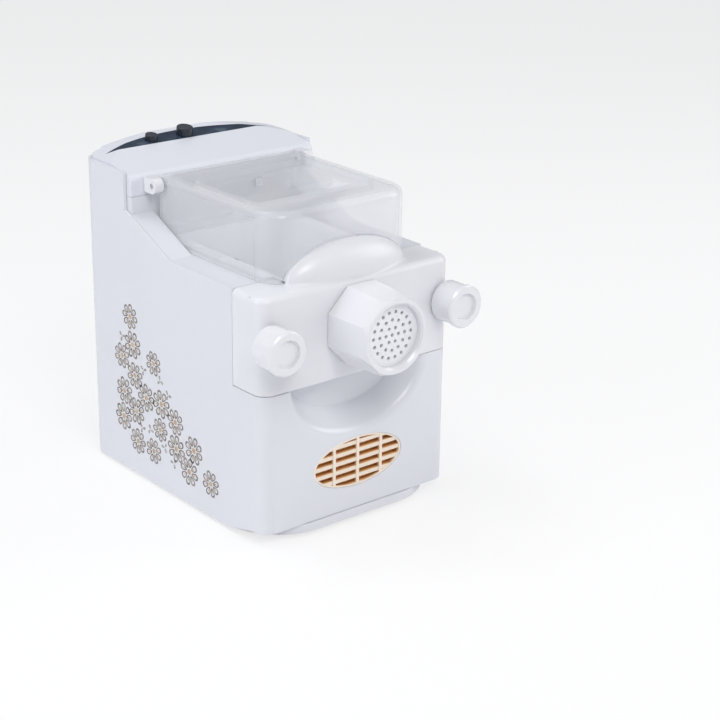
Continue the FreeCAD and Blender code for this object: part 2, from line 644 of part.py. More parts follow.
def on_panel(thing, x):
    """Stands a piece made about its own origin square on the sloping panel."""
    thing.Placement = Placement(Vector(), Rotation(Vector(1, 0, 0), 1))
    thing.setExpression("Placement.Rotation.Angle", tied(f"atan({SURFACE_SLOPE})"))
    return move(thing, x, CONTROL_Y, SURFACE_Z)


def panel_rod(name, radius, low, high, x):
    body = round_prism(name, "XY_Plane", [("0", "0")], radius, low, high)
    return on_panel(body, x)


def panel_block(name, across, along, low, high, x):
    """A block square on the panel; across and along are its low and high ends."""
    body = prism(name, "XY_Plane", [(across[0], along[0]), (across[1], along[0]),
                                    (across[1], along[1]), (across[0], along[1])], low, high)
    return on_panel(body, x)


BOARD_DEPTH = "(head_skin + 16)"
BUTTON_X = "-button_offset"
head_plan = plan_body("head_plan", "(shell_wall + seat_gap)", "head_seam_height + seat_gap", "head_rear_height + 1")
head_rear = overlap("head_rear", plan_body("head_outer", "0", "side_height + part_gap", "head_rear_height + 1"),
                    box("head_rear_block", (f"-{COVER_HALF}", COVER_HALF),
                        (f"{REAR} - rear_corner - 6", f"{REAR} + rear_bulge + 1"),
                        ("side_height", "head_rear_height + 1")))
head_top = overlap("head_top", head_envelope("head_surface", "0"), join("head_plans", head_plan, head_rear))
head_blank = cut("head_blank", head_top, box(
    "ahead_of_tower", (f"-{HALF}", HALF), (FRONT, TOWER), ("0", "head_rear_height + 1")))
head_space = overlap("head_space", head_envelope("head_under", "head_skin"), cut(
    "head_room", plan_body("head_room_plan", "(2 * shell_wall + seat_gap)", "head_seam_height - 1", "head_rear_height"),
    box("head_front_wall", (f"-{HALF}", HALF), (FRONT, f"{TOWER} + shell_wall"), ("0", "head_rear_height"))))
lens_pocket = cut("lens_pocket", lens_body("lens_room", "seat_gap"),
                  head_envelope("lens_seat", "(panel_thickness + seat_gap)"))
posts = [panel_rod(f"board_post_{number}", "3.5", f"-{BOARD_DEPTH}", "-head_skin - 2.5", x)
         for number, x in enumerate(("-62", "62"))]
screw_places = [("-62.5", "head_seam_height + 9.5"), ("62.5", "head_seam_height + 9.5")]
screw_bosses = [rod(f"screw_boss_{number}", "y", "5.5", f"{TOWER} - 1.5", f"{TOWER} + 6", *place)
                for number, place in enumerate(screw_places)]
screw_holes = [rod(f"screw_hole_{number}", "y", "2.3", f"{TOWER} - 3", f"{TOWER} + 7", *place)
               for number, place in enumerate(screw_places)]
shaft_hole = panel_rod("selector_hole", "3 + control_gap", "-30", "10", "0")
button_hole = panel_rod("button_hole", "button_radius + control_gap", "-30", "10", BUTTON_X)
head_solid = cut("head_hollow", head_blank, head_space)
piece(cut("head_cut", join("head_sum", head_solid, *posts, *screw_bosses),
          lens_pocket, shaft_hole, button_hole, *screw_holes), "tower_head")
lens = cut("lens_skin", overlap("lens_top", lens_body("lens_plan", "0"), head_envelope("lens_surface", "0")),
           head_envelope("lens_underside", "panel_thickness"))
piece(cut("lens_cut", lens, panel_rod("lens_shaft_hole", "3 + control_gap", "-30", "10", "0"),
          panel_rod("lens_button_hole", "button_radius + control_gap", "-30", "10", BUTTON_X)), "control_panel")
head_screws = [rod(f"head_screw_{number}", "y", "2.2", f"{TOWER} - 0.5", f"{TOWER} + 6.5", *place)
               for number, place in enumerate(screw_places)]
piece(join("head_screw_pair", *head_screws), "head_screws")


# Rotary selector, start button and the board under them

knob_top = doc.addObject("PartDesign::Body", "selector_knob_body")
pad_along(knob_top, circles(knob_top, "XY_Plane", [("0", "0")], "selector_radius", "control_gap"),
          "XY_Plane", "control_gap", "selector_height")
fillet(knob_top, "1", lambda edge: edge.CenterOfMass.z > size("selector_height") - 0.01)
knob_top = on_panel(knob_top, "0")
selector_socket = panel_rod("selector_socket", "3", "-2", "selector_height - 2", "0")
selector_mark = panel_block("selector_mark", ("-0.5", "0.5"), ("3.5", "selector_radius + 1"),
                            "selector_height - 0.6", "selector_height + 1", "0")
piece(cut("selector_cut", knob_top, selector_socket, selector_mark), "selector_knob")
piece(panel_rod("selector_shaft_body", "3", f"-{BOARD_DEPTH} + 3", "selector_height - 2", "0"), "selector_shaft")
piece(cut("switch_cut", panel_block("switch_block", ("-7", "7"), ("-7", "7"), f"-{BOARD_DEPTH}", f"-{BOARD_DEPTH} + 8", "0"),
          panel_rod("switch_bore", "3 + running_clearance", f"-{BOARD_DEPTH} + 3 - seat_gap", "0", "0")),
      "selector_switch")
button_cap = round_prism("button_cap", "XY_Plane", [("0", "0")], "button_radius",
                         "-head_skin - 2.5", "button_height")
fillet(button_cap, "0.8", lambda edge: edge.CenterOfMass.z > size("button_height") - 0.01)
button_cap = on_panel(button_cap, BUTTON_X)
button_flange = panel_rod("button_flange", "button_radius + 1.5", "-head_skin - 3", "-head_skin - seat_gap", BUTTON_X)
piece(join("button_sum", button_cap, button_flange), "start_button")
piece(panel_block("start_switch_body", ("-4", "4"), ("-4", "4"), f"-{BOARD_DEPTH}",
                  "-head_skin - 3 - button_travel - seat_gap", BUTTON_X), "start_switch")
piece(panel_block("control_board_body", ("-70", "70"), ("-30", "3"), f"-{BOARD_DEPTH} - 1.6",
                  f"-{BOARD_DEPTH}", "0"), "control_board")


# Base tray, its feet and screws

FOOT_X = f"({HALF} - foot_inset)"
foot_places = [(f"{sign} {FOOT_X}", y) for sign in "-+" for y in (f"{FRONT} + foot_inset", f"{REAR} - foot_inset")]
tray_wedge = prism("tray_wedge", "YZ_Plane", [
    (f"{FRONT} - 5", "chin_height - part_gap"), (f"{FRONT} + chin_flat", "chin_height - part_gap"),
    (f"{FRONT} + chin_run", "shell_bottom - part_gap"), (f"{FRONT} - 5", "shell_bottom - part_gap"),
], f"-{HALF}", HALF)
tray_rim = overlap("tray_rim", tray_wedge, cut(
    "tray_ring", base_plan("tray_outside", "0", "foot_height", "chin_height"),
    base_plan("tray_inside", "6", "0", "2 * chin_height")))
tray_plate = overlap("tray_plate", plan_body("tray_plan", LIP, "foot_height", TRAY_TOP),
                     base_plan("tray_limit", "0", "0", "chin_height"))
BOARD_X = (f"({HALF} - board_inset - board_width)", f"({HALF} - board_inset)")
BOARD_Y = (f"{FAST_FRONT} - 12", f"{REAR} - 9")
BOARD_Z = f"({TRAY_TOP} + 13)"
board_corners = [(f"{x} {step}", f"{y} {turn}") for x, step in zip(BOARD_X, ("+ 5", "- 5"))
                 for y, turn in zip(BOARD_Y, ("+ 5", "- 5"))]
board_posts = [rod(f"power_post_{number}", "z", "3", f"{TRAY_TOP} - 1", BOARD_Z, *place)
               for number, place in enumerate(board_corners)]
tray_holes = [rod(f"tray_hole_{number}", "z", "screw_radius_small + part_gap", "0", f"{TRAY_TOP} + 1", *place)
              for number, place in enumerate(base_posts)]
tray_sinks = [rod(f"tray_sink_{number}", "z", "2 * screw_radius_small + part_gap", "0", "foot_height + 1.5", *place)
              for number, place in enumerate(base_posts)]
foot_holes = [rod(f"foot_hole_{number}", "z", "foot_radius / 3 + seat_gap", "0", f"{TRAY_TOP} + 1", *place)
              for number, place in enumerate(foot_places)]
piece(cut("tray_cut", join("tray_sum", tray_rim, tray_plate, *board_posts),
          *tray_holes, *tray_sinks, *foot_holes), "base_tray")
feet = []
for number, place in enumerate(foot_places):
    feet.append(join(
        f"foot_{number}", rod(f"foot_pad_{number}", "z", "foot_radius", "0", "foot_height", *place),
        rod(f"foot_stem_{number}", "z", "foot_radius / 3", "0", f"{TRAY_TOP} + 2", *place),
        rod(f"foot_button_{number}", "z", "foot_radius / 2", f"{TRAY_TOP} + seat_gap", f"{TRAY_TOP} + 2", *place)))
piece(join("foot_set", *feet), "rubber_feet")
tray_screws = []
for number, place in enumerate(base_posts):
    tray_screws.append(join(
        f"base_screw_{number}",
        rod(f"base_head_{number}", "z", "2 * screw_radius_small", "foot_height + 0.2", "foot_height + 1.5", *place),
        rod(f"base_shank_{number}", "z", "screw_radius_small", "foot_height + 1", f"{TRAY_TOP} + 18", *place)))
piece(join("base_screw_set", *tray_screws), "base_screws")


# Front air vent: louvres and ribs in an oval ring, with a foam filter behind

def oval(name, half_width, half_height, low, high):
    return computed(name, oval_prism(size(half_width), size(half_height), size(low), size(high), size("vent_height")))


FACE_BACK = f"({FRONT} + shell_wall)"
vent_ring = cut("vent_ring", join(
    "vent_collar", oval("vent_outer", "vent_half_width - seat_gap", "vent_half_height - seat_gap",
                        f"{FRONT} + 0.4", f"{FACE_BACK} + 2.3"),
    oval("vent_flange", "vent_half_width + 3", "vent_half_height + 3", f"{FACE_BACK} + seat_gap", f"{FACE_BACK} + 2.3")),
    oval("vent_inner", "vent_half_width - 2", "vent_half_height - 2", f"{FRONT} - 1", f"{FACE_BACK} + 4"))
vent_room = oval("vent_room", "vent_half_width - 1", "vent_half_height - 1", f"{FRONT} + 0.4", f"{FACE_BACK} + 2.3")
LOUVRE_MIDDLE = "(vent_height + 1.6)"
louvres = [prism(f"louvre_{row + 3}", "YZ_Plane", [
    (f"{FRONT} + 1.2", f"{LOUVRE_MIDDLE} + {row} * louvre_pitch - louvre_height / 2"),
    (f"{FACE_BACK} + 2", f"{LOUVRE_MIDDLE} + {row} * louvre_pitch - louvre_height / 2 + 1"),
    (f"{FACE_BACK} + 2", f"{LOUVRE_MIDDLE} + {row} * louvre_pitch + louvre_height / 2"),
    (f"{FRONT} + 1.2", f"{LOUVRE_MIDDLE} + {row} * louvre_pitch + louvre_height / 2 - 0.6"),
], "-vent_half_width", "vent_half_width") for row in range(-3, 3)]
ribs = [box(f"vent_rib_{number + 1}", (f"{number} * rib_pitch - rib_width / 2", f"{number} * rib_pitch + rib_width / 2"),
            (f"{FRONT} + 0.6", f"{FACE_BACK} + 2.3"), ("vent_height - vent_half_height", "vent_height + vent_half_height"))
        for number in (-1, 0, 1)]
vent_bars = overlap("vent_bars", join("vent_bar_sum", *louvres, *ribs), vent_room)
piece(join("vent_sum", vent_ring, vent_bars), "vent_grille")
piece(oval("filter_pad", "vent_half_width + 2", "vent_half_height + 2", f"{FACE_BACK} + 2.3", f"{FACE_BACK} + 8.3"),
      "air_filter")


# Front cover with its hump and nozzle

COVER_LOW_Z = "(seam_height + part_gap)"
COVER_END = f"({COVER_BACK} - part_gap)"
cover_body = plan_body("cover_plan", "0", COVER_LOW_Z, "deck_height")
fillet(cover_body, "cover_edge_round", lambda edge: level_at(edge, "deck_height")
       and edge.CenterOfMass.y < size(TOWER))
fillet(cover_body, "seam_round", lambda edge: level_at(edge, COVER_LOW_Z) and edge.CenterOfMass.y < size(TOWER))
cover_blank = overlap("cover_blank", cover_body, box(
    "cover_reach", (f"-{HALF}", HALF), (FRONT, COVER_END), (COVER_LOW_Z, "deck_height")))
cover_room = overlap("cover_room", plan_body("cover_inner", "cover_wall", f"{COVER_LOW_Z} + cover_wall",
                                             "deck_height - cover_wall"),
                     box("cover_room_reach", (f"-{HALF}", HALF), (FRONT, COVER_BACK), (COVER_LOW_Z, "deck_height")))


def dome(name, inset, front, back, low):
    """The front part of the hump, an ellipsoid whose middle lies on the deck at the crest."""
    matrix = FreeCAD.Matrix()
    matrix.scale(size(f"hump_half_width - {inset}"), size(f"ledge_depth - 2 - {inset}"), size(f"hump_rise - {inset}"))
    ball = Part.makeSphere(1).transformGeometry(matrix)
    ball.translate(Vector(0, size(CREST), size("deck_height")))
    reach = size("hump_half_width") + 5
    limit = Part.makeBox(2 * reach, size(back) - size(front), 2 * size("hump_rise"), Vector(-reach, size(front), size(low)))
    return computed(name, ball.common(limit))


def arch(name, inset, front, back, low):
    """The upper half of the hump's outline drawn out along Y, above a height."""
    curve = Part.Ellipse(Vector(), size(f"hump_half_width - {inset}"), size(f"hump_rise - {inset}"))
    wire = Part.Wire([curve.toShape()])
    wire.rotate(Vector(), Vector(1, 0, 0), 90)
    wire.translate(Vector(0, size(front), size("deck_height")))
    solid = Part.Face(wire).extrude(Vector(0, size(back) - size(front), 0))
    reach = size("hump_half_width") + 5
    depth = size("body_depth")
    limit = Part.makeBox(2 * reach, 2 * depth, 2 * size("hump_rise"), Vector(-reach, -depth, size(low)))
    return computed(name, solid.common(limit))


BACKING = f"({CREST} - backing_thickness)"
hump = dome("hump", "0", f"{FRONT} - 1", CREST, "deck_height - cover_edge_round")
hump_room = dome("hump_room", "cover_wall", f"{FRONT} - 1", BACKING, "deck_height - cover_wall - 1")
bulkhead = box("bulkhead", (f"-({HALF} - 1)", f"{HALF} - 1"), (BACKING, CREST), (COVER_LOW_Z, "deck_height - 1"))
arch_step = arch("arch_step", "0.5", BACKING, f"{CREST} + 3.5", f"{TUB_TOP} + 1")
nozzle_blank = rod("nozzle_blank", "y", "nozzle_radius", NOZZLE_END, BACKING, "0", "axis_height")
nozzle_bore = rod("nozzle_bore", "y", "nozzle_bore_radius", f"{NOZZLE_END} + 5", f"{CREST} + 1", "0", "axis_height")
nozzle_cone = turned("nozzle_cone", [
    ("0", f"{NOZZLE_END} - 1"), ("nozzle_radius - 3.5", f"{NOZZLE_END} - 1"), ("nozzle_radius - 3.5", NOZZLE_END),
    ("nozzle_bore_radius", f"{NOZZLE_END} + 14"), ("0", f"{NOZZLE_END} + 14")])
knob_bosses = [rod("knob_boss" + side, "y", "boss_radius", f"{FRONT} + 1", COVER_END,
                   f"{sign} knob_spacing / 2", "axis_height") for side, sign in (("_left", "-"), ("_right", "+"))]
boss_limit = plan_body("boss_limit", "1", COVER_LOW_Z, "deck_height")
boss_set = overlap("boss_set", join("knob_boss_pair", *knob_bosses), boss_limit)
stud_holes = [rod("stud_hole" + side, "y", "stud_radius + seat_gap", f"{FRONT} - 1", f"{COVER_BACK} + 1",
                  f"{sign} knob_spacing / 2", "axis_height") for side, sign in (("_left", "-"), ("_right", "+"))]
tub_room = trough("tub_room", "(tub_bottom_radius + tub_wall + 1)", "(deck_height + 8)", CREST, f"{COVER_BACK} + 2")
deck_room = box("deck_room", (f"-({TUB_OUTER} + part_gap)", f"{TUB_OUTER} + part_gap"), (CREST, f"{COVER_BACK} + 2"),
                (f"deck_height - cover_wall - 1", "deck_height + 20"))
cover_shell = cut("cover_hollow", join("cover_top", cover_blank, hump), cover_room, hump_room)
cover_front = cut("cover_open", join("cover_full", cover_shell, bulkhead, nozzle_blank, boss_set),
                  tub_room, deck_room, nozzle_bore, nozzle_cone, *stud_holes)
arch_top = cut("arch_top", arch_step, box(
    "arch_front", ("-hump_half_width", "hump_half_width"), (f"{FRONT} - 1", f"{BACKING} + 1"),
    ("deck_height", "head_rear_height")))
piece(round_edges("hump_foot", join("cover_sum", cover_front, arch_top), "hump_blend", lambda edge:
                  edge.CenterOfMass.y < size(CREST) and edge.BoundBox.ZMax < size("deck_height") + 5
                  and edge.CenterOfMass.z > size("deck_height") - 3 and edge.Length > 8
                  and edge.BoundBox.YMin < size(CREST) - 3), "front_cover")


# Nut, die and seal at the nozzle's end

NUT_FACE = f"({FRONT} - nut_reach)"
NUT_BASE = f"({FRONT} - part_gap)"
nut_body = doc.addObject("PartDesign::Body", "nut_body")
corner_angles = [22.5 + 45 * step for step in range(8)]


def octagon(radius, y):
    corners = [(f"{radius} * cos({angle})", f"{radius} * sin({angle})") for angle in corner_angles]
    return polygon(nut_body, "XZ_Plane", corners, f"-({y})")


nut_loft = nut_body.newObject("PartDesign::AdditiveLoft", "nut_loft")
nut_loft.Profile = octagon("nut_base_radius", NUT_BASE)
nut_loft.Sections = [octagon("nut_face_radius", NUT_FACE)]
nut_loft.Ruled = True
nut_body.Tip = nut_loft
fillet(nut_body, "2", lambda edge: edge.Length > size("nut_reach") - 5)
move(nut_body, "0", "0", "axis_height")
nut_bore = rod("nut_bore", "y", "nozzle_radius + thread_clearance", f"{NUT_FACE} + nut_lip", f"{NUT_BASE} + 1",
               "0", "axis_height")
nut_mouth = turned("nut_mouth", [
    ("0", f"{NUT_FACE} - 1"), ("nut_opening_radius + 2", f"{NUT_FACE} - 1"), ("nut_opening_radius + 2", NUT_FACE),
    ("nut_opening_radius", f"{NUT_FACE} + 2"), ("nut_opening_radius", f"{NUT_FACE} + nut_lip + 1"),
    ("0", f"{NUT_FACE} + nut_lip + 1")])
nut_nose = turned("nut_nose", [
    ("0", f"{NUT_FACE} - 1"), ("nut_nose_radius - 0.5", f"{NUT_FACE} - 1"), ("nut_nose_radius + 12", f"{NUT_FACE} + 24"),
    ("nut_nose_radius + 12", f"{NUT_BASE} + 1"), ("0", f"{NUT_BASE} + 1")])
piece(cut("nut_cut", overlap("nut_outside", nut_body, nut_nose), nut_bore, nut_mouth), "die_nut")
DIE_FRONT = f"({NUT_FACE} + nut_lip + seat_gap)"
DIE_RADIUS = "(nozzle_radius - 0.3)"
die_holes = []
for ring_number, count in enumerate((1, 6, 12, 18)):
    for turn in range(count):
        angle = 360 * turn / count
        die_holes.append((f"{ring_number} * 7 * cos({angle})", f"{ring_number} * 7 * sin({angle})"))
die_body = round_prism("die_blank", "XZ_Plane", [("0", "0")], DIE_RADIUS, DIE_FRONT, f"{DIE_FRONT} + die_thickness")
hole_sketch = circles(die_body, "XZ_Plane", die_holes, "die_hole_radius", f"-({DIE_FRONT} + die_thickness)")
hole_pocket = die_body.newObject("PartDesign::Pocket", "die_pocket")
hole_pocket.Profile = hole_sketch
hole_pocket.Type = "ThroughAll"
hole_pocket.Reversed = True
die_body.Tip = hole_pocket
piece(move(die_body, "0", "0", "axis_height"), "die_disc")
seal_ring = cut("die_seal_cut", rod("die_seal_out", "y", DIE_RADIUS, f"{DIE_FRONT} + die_thickness", NOZZLE_END,
                                    "0", "axis_height"),
                rod("die_seal_in", "y", "nozzle_radius - 3.5", f"{NUT_FACE}", f"{NOZZLE_END} + 1", "0", "axis_height"))
piece(seal_ring, "die_seal")


# Clamp knobs, their steel studs and the brass inserts

KNOB_FACE = f"({FRONT} - knob_reach)"
KNOB_BASE = f"({FRONT} - 1)"
for side, sign in (("left", "-"), ("right", "+")):
    knob_x = f"{sign} knob_spacing / 2"
    knob = turned("knob_body_" + side, [
        ("0", f"{KNOB_FACE} + knob_dish_depth"), ("knob_dish_radius - 1", f"{KNOB_FACE} + knob_dish_depth"),
        ("knob_dish_radius", KNOB_FACE), ("knob_radius - 1.5", KNOB_FACE), ("knob_radius", f"{KNOB_FACE} + 1.5"),
        ("knob_radius", f"{KNOB_FACE} + 5"), ("knob_radius - 1", f"{KNOB_FACE} + 6"),
        ("knob_radius - 1", f"{KNOB_BASE} - 1.5"), ("knob_radius - 4", f"{KNOB_BASE} - 1.5"),
        ("knob_radius - 4", KNOB_BASE), ("0", KNOB_BASE)], knob_x, "0", "axis_height")
    socket = rod("knob_socket_" + side, "y", "stud_radius + running_clearance", f"{KNOB_FACE} + 8", f"{KNOB_BASE} + 1",
                 knob_x, "axis_height")
    piece(cut("knob_cut_" + side, knob, socket), "clamp_knob_" + side)
    piece(rod("stud_" + side, "y", "stud_radius", f"{KNOB_FACE} + 8", f"{KNOB_FACE} + 8 + stud_length",
              knob_x, "axis_height"), "clamp_stud_" + side)
inserts = []
for side, sign in (("left", "-"), ("right", "+")):
    knob_x = f"{sign} knob_spacing / 2"
    inserts.append(cut("insert_" + side, rod("insert_out_" + side, "y", "insert_radius - running_clearance",
                                             COVER_BACK, f"{COVER_BACK} + insert_length", knob_x, "axis_height"),
                       rod("insert_in_" + side, "y", "stud_radius + running_clearance",
                           f"{COVER_BACK} - 1", f"{COVER_BACK} + insert_length + 1", knob_x, "axis_height")))
piece(join("insert_pair", *inserts), "threaded_inserts")


# Mixing tub with its seals

TUB_WALL_RADIUS = "(tub_bottom_radius + tub_wall)"
tub_outside = trough("tub_outside", TUB_WALL_RADIUS, TUB_TOP, TUB_FRONT, TUB_REAR)
tub_inside = trough("tub_inside", "tub_bottom_radius", f"({TUB_TOP} + 3)", f"{TUB_FRONT} - 1", f"{TUB_REAR} - 3")
flange = box("tub_flange_plate", (f"-({TUB_OUTER} + tub_flange)", f"{TUB_OUTER} + tub_flange"),
             (f"{COVER_BACK} + 1", f"{TUB_REAR} + 3"), ("deck_height + seat_gap", TUB_TOP))
tub_feet = [box(f"tub_foot_{number}", ("-26", "26"), (low, high), ("seam_height + seat_gap", "seam_height + 9"))
            for number, (low, high) in enumerate(((f"{FRONT} + 60", f"{FRONT} + 70"),
                                                  (f"{TUB_REAR} - 30", f"{TUB_REAR} - 20")))]
shaft_pass = rod("shaft_pass", "y", "output_shaft_radius + 3", f"{TUB_REAR} - 5", f"{TUB_REAR} + 5", "0", "axis_height")
piece(cut("tub_cut", join("tub_sum", tub_outside, flange, *tub_feet), tub_inside, shaft_pass), "mixing_tub")
tub_seal = cut("tub_seal_cut", trough("tub_seal_out", TUB_WALL_RADIUS, TUB_TOP, f"({CREST} + seat_gap)", TUB_FRONT),
               trough("tub_seal_in", "tub_bottom_radius", f"({TUB_TOP} + 3)", f"({CREST} - 1)", f"({TUB_FRONT} + 1)"))
piece(tub_seal, "tub_seal")
piece(cut("shaft_seal_cut",
          rod("shaft_seal_out", "y", "output_shaft_radius + 3 - running_clearance", f"{TUB_REAR} - 2.8",
              f"{TUB_REAR} - 0.2", "0", "axis_height"),
          rod("shaft_seal_in", "y", "output_shaft_radius + running_clearance", f"{TUB_REAR} - 4",
              f"{TUB_REAR} + 1", "0", "axis_height")), "shaft_seal")


# Mixing shaft: paddles in the tub, a feed screw in the nozzle's bore, a square socket behind

SCREW_FRONT = f"({NOZZLE_END} + 17)"
SHAFT_END = f"({TUB_REAR} - 5)"
flight_count = "(screw_length / screw_pitch)"


def feed_screw():
    """A square-edged flight swept along a helix about the Y axis."""
    pitch = size("screw_pitch")
    length = size("screw_length") - size("flight_thickness")
    inner = size("mixer_radius") - 1.5
    outer = size("screw_radius")
    half = size("flight_thickness") / 2
    helix = Part.makeHelix(pitch, length, outer)
    corners = [Vector(inner, 0, -half), Vector(outer, 0, -half), Vector(outer, 0, half), Vector(inner, 0, half)]
    section = Part.Wire(Part.makePolygon(corners + corners[:1]).Edges)
    flight = Part.Wire(helix.Edges).makePipeShell([section], True, True)
    flight = Part.Solid(flight) if flight.ShapeType == "Shell" else flight
    flight.rotate(Vector(), Vector(1, 0, 0), -90)
    return flight


flight_piece = computed("feed_flight", feed_screw(), "0", f"{SCREW_FRONT} + flight_thickness / 2", "axis_height")
shaft_core = turned("shaft_core", [
    ("0", f"{SCREW_FRONT} - 3"), ("mixer_radius - 3", f"{SCREW_FRONT} - 3"), ("mixer_radius", SCREW_FRONT),
    ("mixer_radius", SHAFT_END), ("0", SHAFT_END)])
paddles = []
PADDLE_START = f"({SCREW_FRONT} + screw_length + 14)"
for number, angle in enumerate((0, 180, 60, 240, 120)):
    paddle = doc.addObject("Part::Cylinder", f"paddle_{number}")
    paddle.Placement = Placement(Vector(), Rotation(Vector(0, 1, 0), angle))
    bind(paddle, Radius="paddle_radius", Height="paddle_reach")
    paddles.append(move(paddle, "0", f"{PADDLE_START} + {number} * ({SHAFT_END} - 10 - {PADDLE_START}) / 4", "axis_height"))
TIP_START = f"({TUB_REAR} - 20)"
drive_socket = box("drive_socket", ("-(drive_square + seat_gap) / 2", "(drive_square + seat_gap) / 2"),
                   (f"{TIP_START} - seat_gap", f"{TUB_REAR}"),
                   ("axis_height - (drive_square + seat_gap) / 2", "axis_height + (drive_square + seat_gap) / 2"))
piece(cut("mixer_cut", join("mixer_sum", shaft_core, flight_piece, *paddles), drive_socket), "mixing_shaft")


# Output shaft and its bearings

TIP_END = f"({TUB_REAR} - 2)"
OUTPUT_END = f"({GEARBOX_BACK} + gearbox_wall + 3)"
BEARING_OUT = "(output_shaft_radius + bearing_ring)"
shaft_tip = box("shaft_tip", ("-drive_square / 2", "drive_square / 2"), (TIP_START, f"{TIP_END} + 1"),
                ("axis_height - drive_square / 2", "axis_height + drive_square / 2"))
shaft_round = rod("shaft_round", "y", "output_shaft_radius", TIP_END, OUTPUT_END, "0", "axis_height")
piece(join("output_sum", shaft_tip, shaft_round), "output_shaft")
FRONT_BEARING = (f"{GEAR_PLATE} - 1", f"{GEAR_PLATE} + gear_plate_thickness + 1")
REAR_BEARING = (f"{GEARBOX_BACK} + 0.3", f"{GEARBOX_BACK} + gearbox_wall + 2.5")
rings = [cut(f"bearing_{number}", rod(f"bearing_out_{number}", "y", BEARING_OUT, *span, "0", "axis_height"),
             rod(f"bearing_in_{number}", "y", "output_shaft_radius + running_clearance",
                 f"{span[0]} - 1", f"{span[1]} + 1", "0", "axis_height"))
         for number, span in enumerate((FRONT_BEARING, REAR_BEARING))]
piece(join("bearing_pair", *rings), "output_bearings")


# Reduction gears from the motor up to the mixing shaft

ADDENDUM = 0.8
DEDENDUM = 1.05
PRESSURE = math.radians(25)


def gear_blank(name, module_name, teeth_name, axis, front, tooth_up):
    """A spur gear on an axis along Y, with a tooth or a gap standing at the chosen side."""
    module = size(module_name)
    teeth = int(round(size(teeth_name)))
    pitch = module * teeth / 2
    base = pitch * math.cos(PRESSURE)
    tip = pitch + ADDENDUM * module
    root = pitch - DEDENDUM * module
    half_tooth = math.pi / (2 * teeth) - size("gear_backlash") / (4 * pitch)
    involute = math.tan(PRESSURE) - PRESSURE
    flank = []
    lowest = max(base, root)
    for share in (0, 0.35, 0.7, 1):
        radius = lowest + (tip - lowest) * share
        angle = math.acos(min(1, base / radius))
        flank.append((radius, half_tooth + involute - (math.tan(angle) - angle)))
    if root < base:
        flank.insert(0, (root, flank[0][1]))
    points = []
    start = math.pi / 2 if tooth_up else -math.pi / 2 + math.pi / teeth
    for number in range(teeth):
        middle = start + 2 * math.pi * number / teeth
        for radius, angle in flank:
            points.append(Vector(radius * math.cos(middle - angle), 0, radius * math.sin(middle - angle)))
        for radius, angle in reversed(flank):
            points.append(Vector(radius * math.cos(middle + angle), 0, radius * math.sin(middle + angle)))
    face = Part.Face(Part.makePolygon(points + points[:1]))
    solid = face.extrude(Vector(0, size("gear_width"), 0))
    return computed(name, solid, "0", front, axis)


output_wheel = gear_blank("output_wheel", "slow_module", "slow_wheel_teeth", "axis_height", SLOW_FRONT, False)
piece(cut("output_gear_cut", output_wheel, rod(
    "output_gear_bore", "y", "output_shaft_radius + running_clearance / 2", f"{SLOW_FRONT} - 1",
    f"{SLOW_FRONT} + gear_width + 1", "0", "axis_height")), "output_gear")
middle_pinion = gear_blank("middle_pinion", "slow_module", "slow_pinion_teeth", MIDDLE_AXIS, SLOW_FRONT, True)
middle_wheel = gear_blank("middle_wheel", "fast_module", "fast_wheel_teeth", MIDDLE_AXIS, FAST_FRONT, False)
middle_hub = rod("middle_hub", "y", "gear_pin_radius + 3", f"{SLOW_FRONT} + gear_width", FAST_FRONT, "0", MIDDLE_AXIS)
piece(cut("reduction_cut", join("reduction_sum", middle_pinion, middle_hub, middle_wheel),
          rod("reduction_bore", "y", "gear_pin_radius + running_clearance", f"{SLOW_FRONT} - 1",
              f"{FAST_FRONT} + gear_width + 1", "0", MIDDLE_AXIS)), "reduction_gear")
piece(rod("gear_pin_body", "y", "gear_pin_radius", GEAR_PLATE, f"{GEARBOX_BACK} + gearbox_wall", "0", MIDDLE_AXIS),
      "gear_pin")
motor_wheel = gear_blank("motor_wheel", "fast_module", "fast_pinion_teeth", MOTOR_AXIS, FAST_FRONT, True)
piece(cut("motor_pinion_cut", motor_wheel, rod(
    "motor_pinion_bore", "y", "motor_shaft_radius + running_clearance / 2", f"{FAST_FRONT} - 1",
    f"{FAST_FRONT} + gear_width + 1", "0", MOTOR_AXIS)), "motor_pinion")


# Gearbox: a plate across the machine and a cover behind it

SLOW_WHEEL = "(slow_module * (slow_wheel_teeth / 2 + 1))"
FAST_WHEEL = "(fast_module * (fast_wheel_teeth / 2 + 1))"
FAST_PINION = "(fast_module * (fast_pinion_teeth / 2 + 1))"
gear_rooms = [("axis_height", SLOW_WHEEL), (MIDDLE_AXIS, FAST_WHEEL), (MOTOR_AXIS, FAST_PINION)]
PLATE_BACK = f"({GEAR_PLATE} + gear_plate_thickness)"
PLATE_TOP = f"(axis_height + {SLOW_WHEEL} + gear_air + gearbox_wall + 2)"
ear_places = [(f"{sign} ({SLOW_WHEEL} + gear_air + gearbox_wall + 4) * cos(30)",
               f"axis_height + ({SLOW_WHEEL} + gear_air + gearbox_wall + 4) * sin(30)") for sign in "-+"]
ear_places += [(f"{sign} ({FAST_PINION} + gear_air + gearbox_wall + 4) * cos(25)",
                f"{MOTOR_AXIS} - ({FAST_PINION} + gear_air + gearbox_wall + 4) * sin(25)") for sign in "-+"]
motor_screw_places = [(f"{sign} (motor_radius - 10) * cos(60)", f"{MOTOR_AXIS} - (motor_radius - 10) * sin(60)")
                      for sign in "-+"]


def rods(name, radius, low, high, places):
    return [rod(f"{name}_{number}", "y", radius, low, high, *place) for number, place in enumerate(places)]


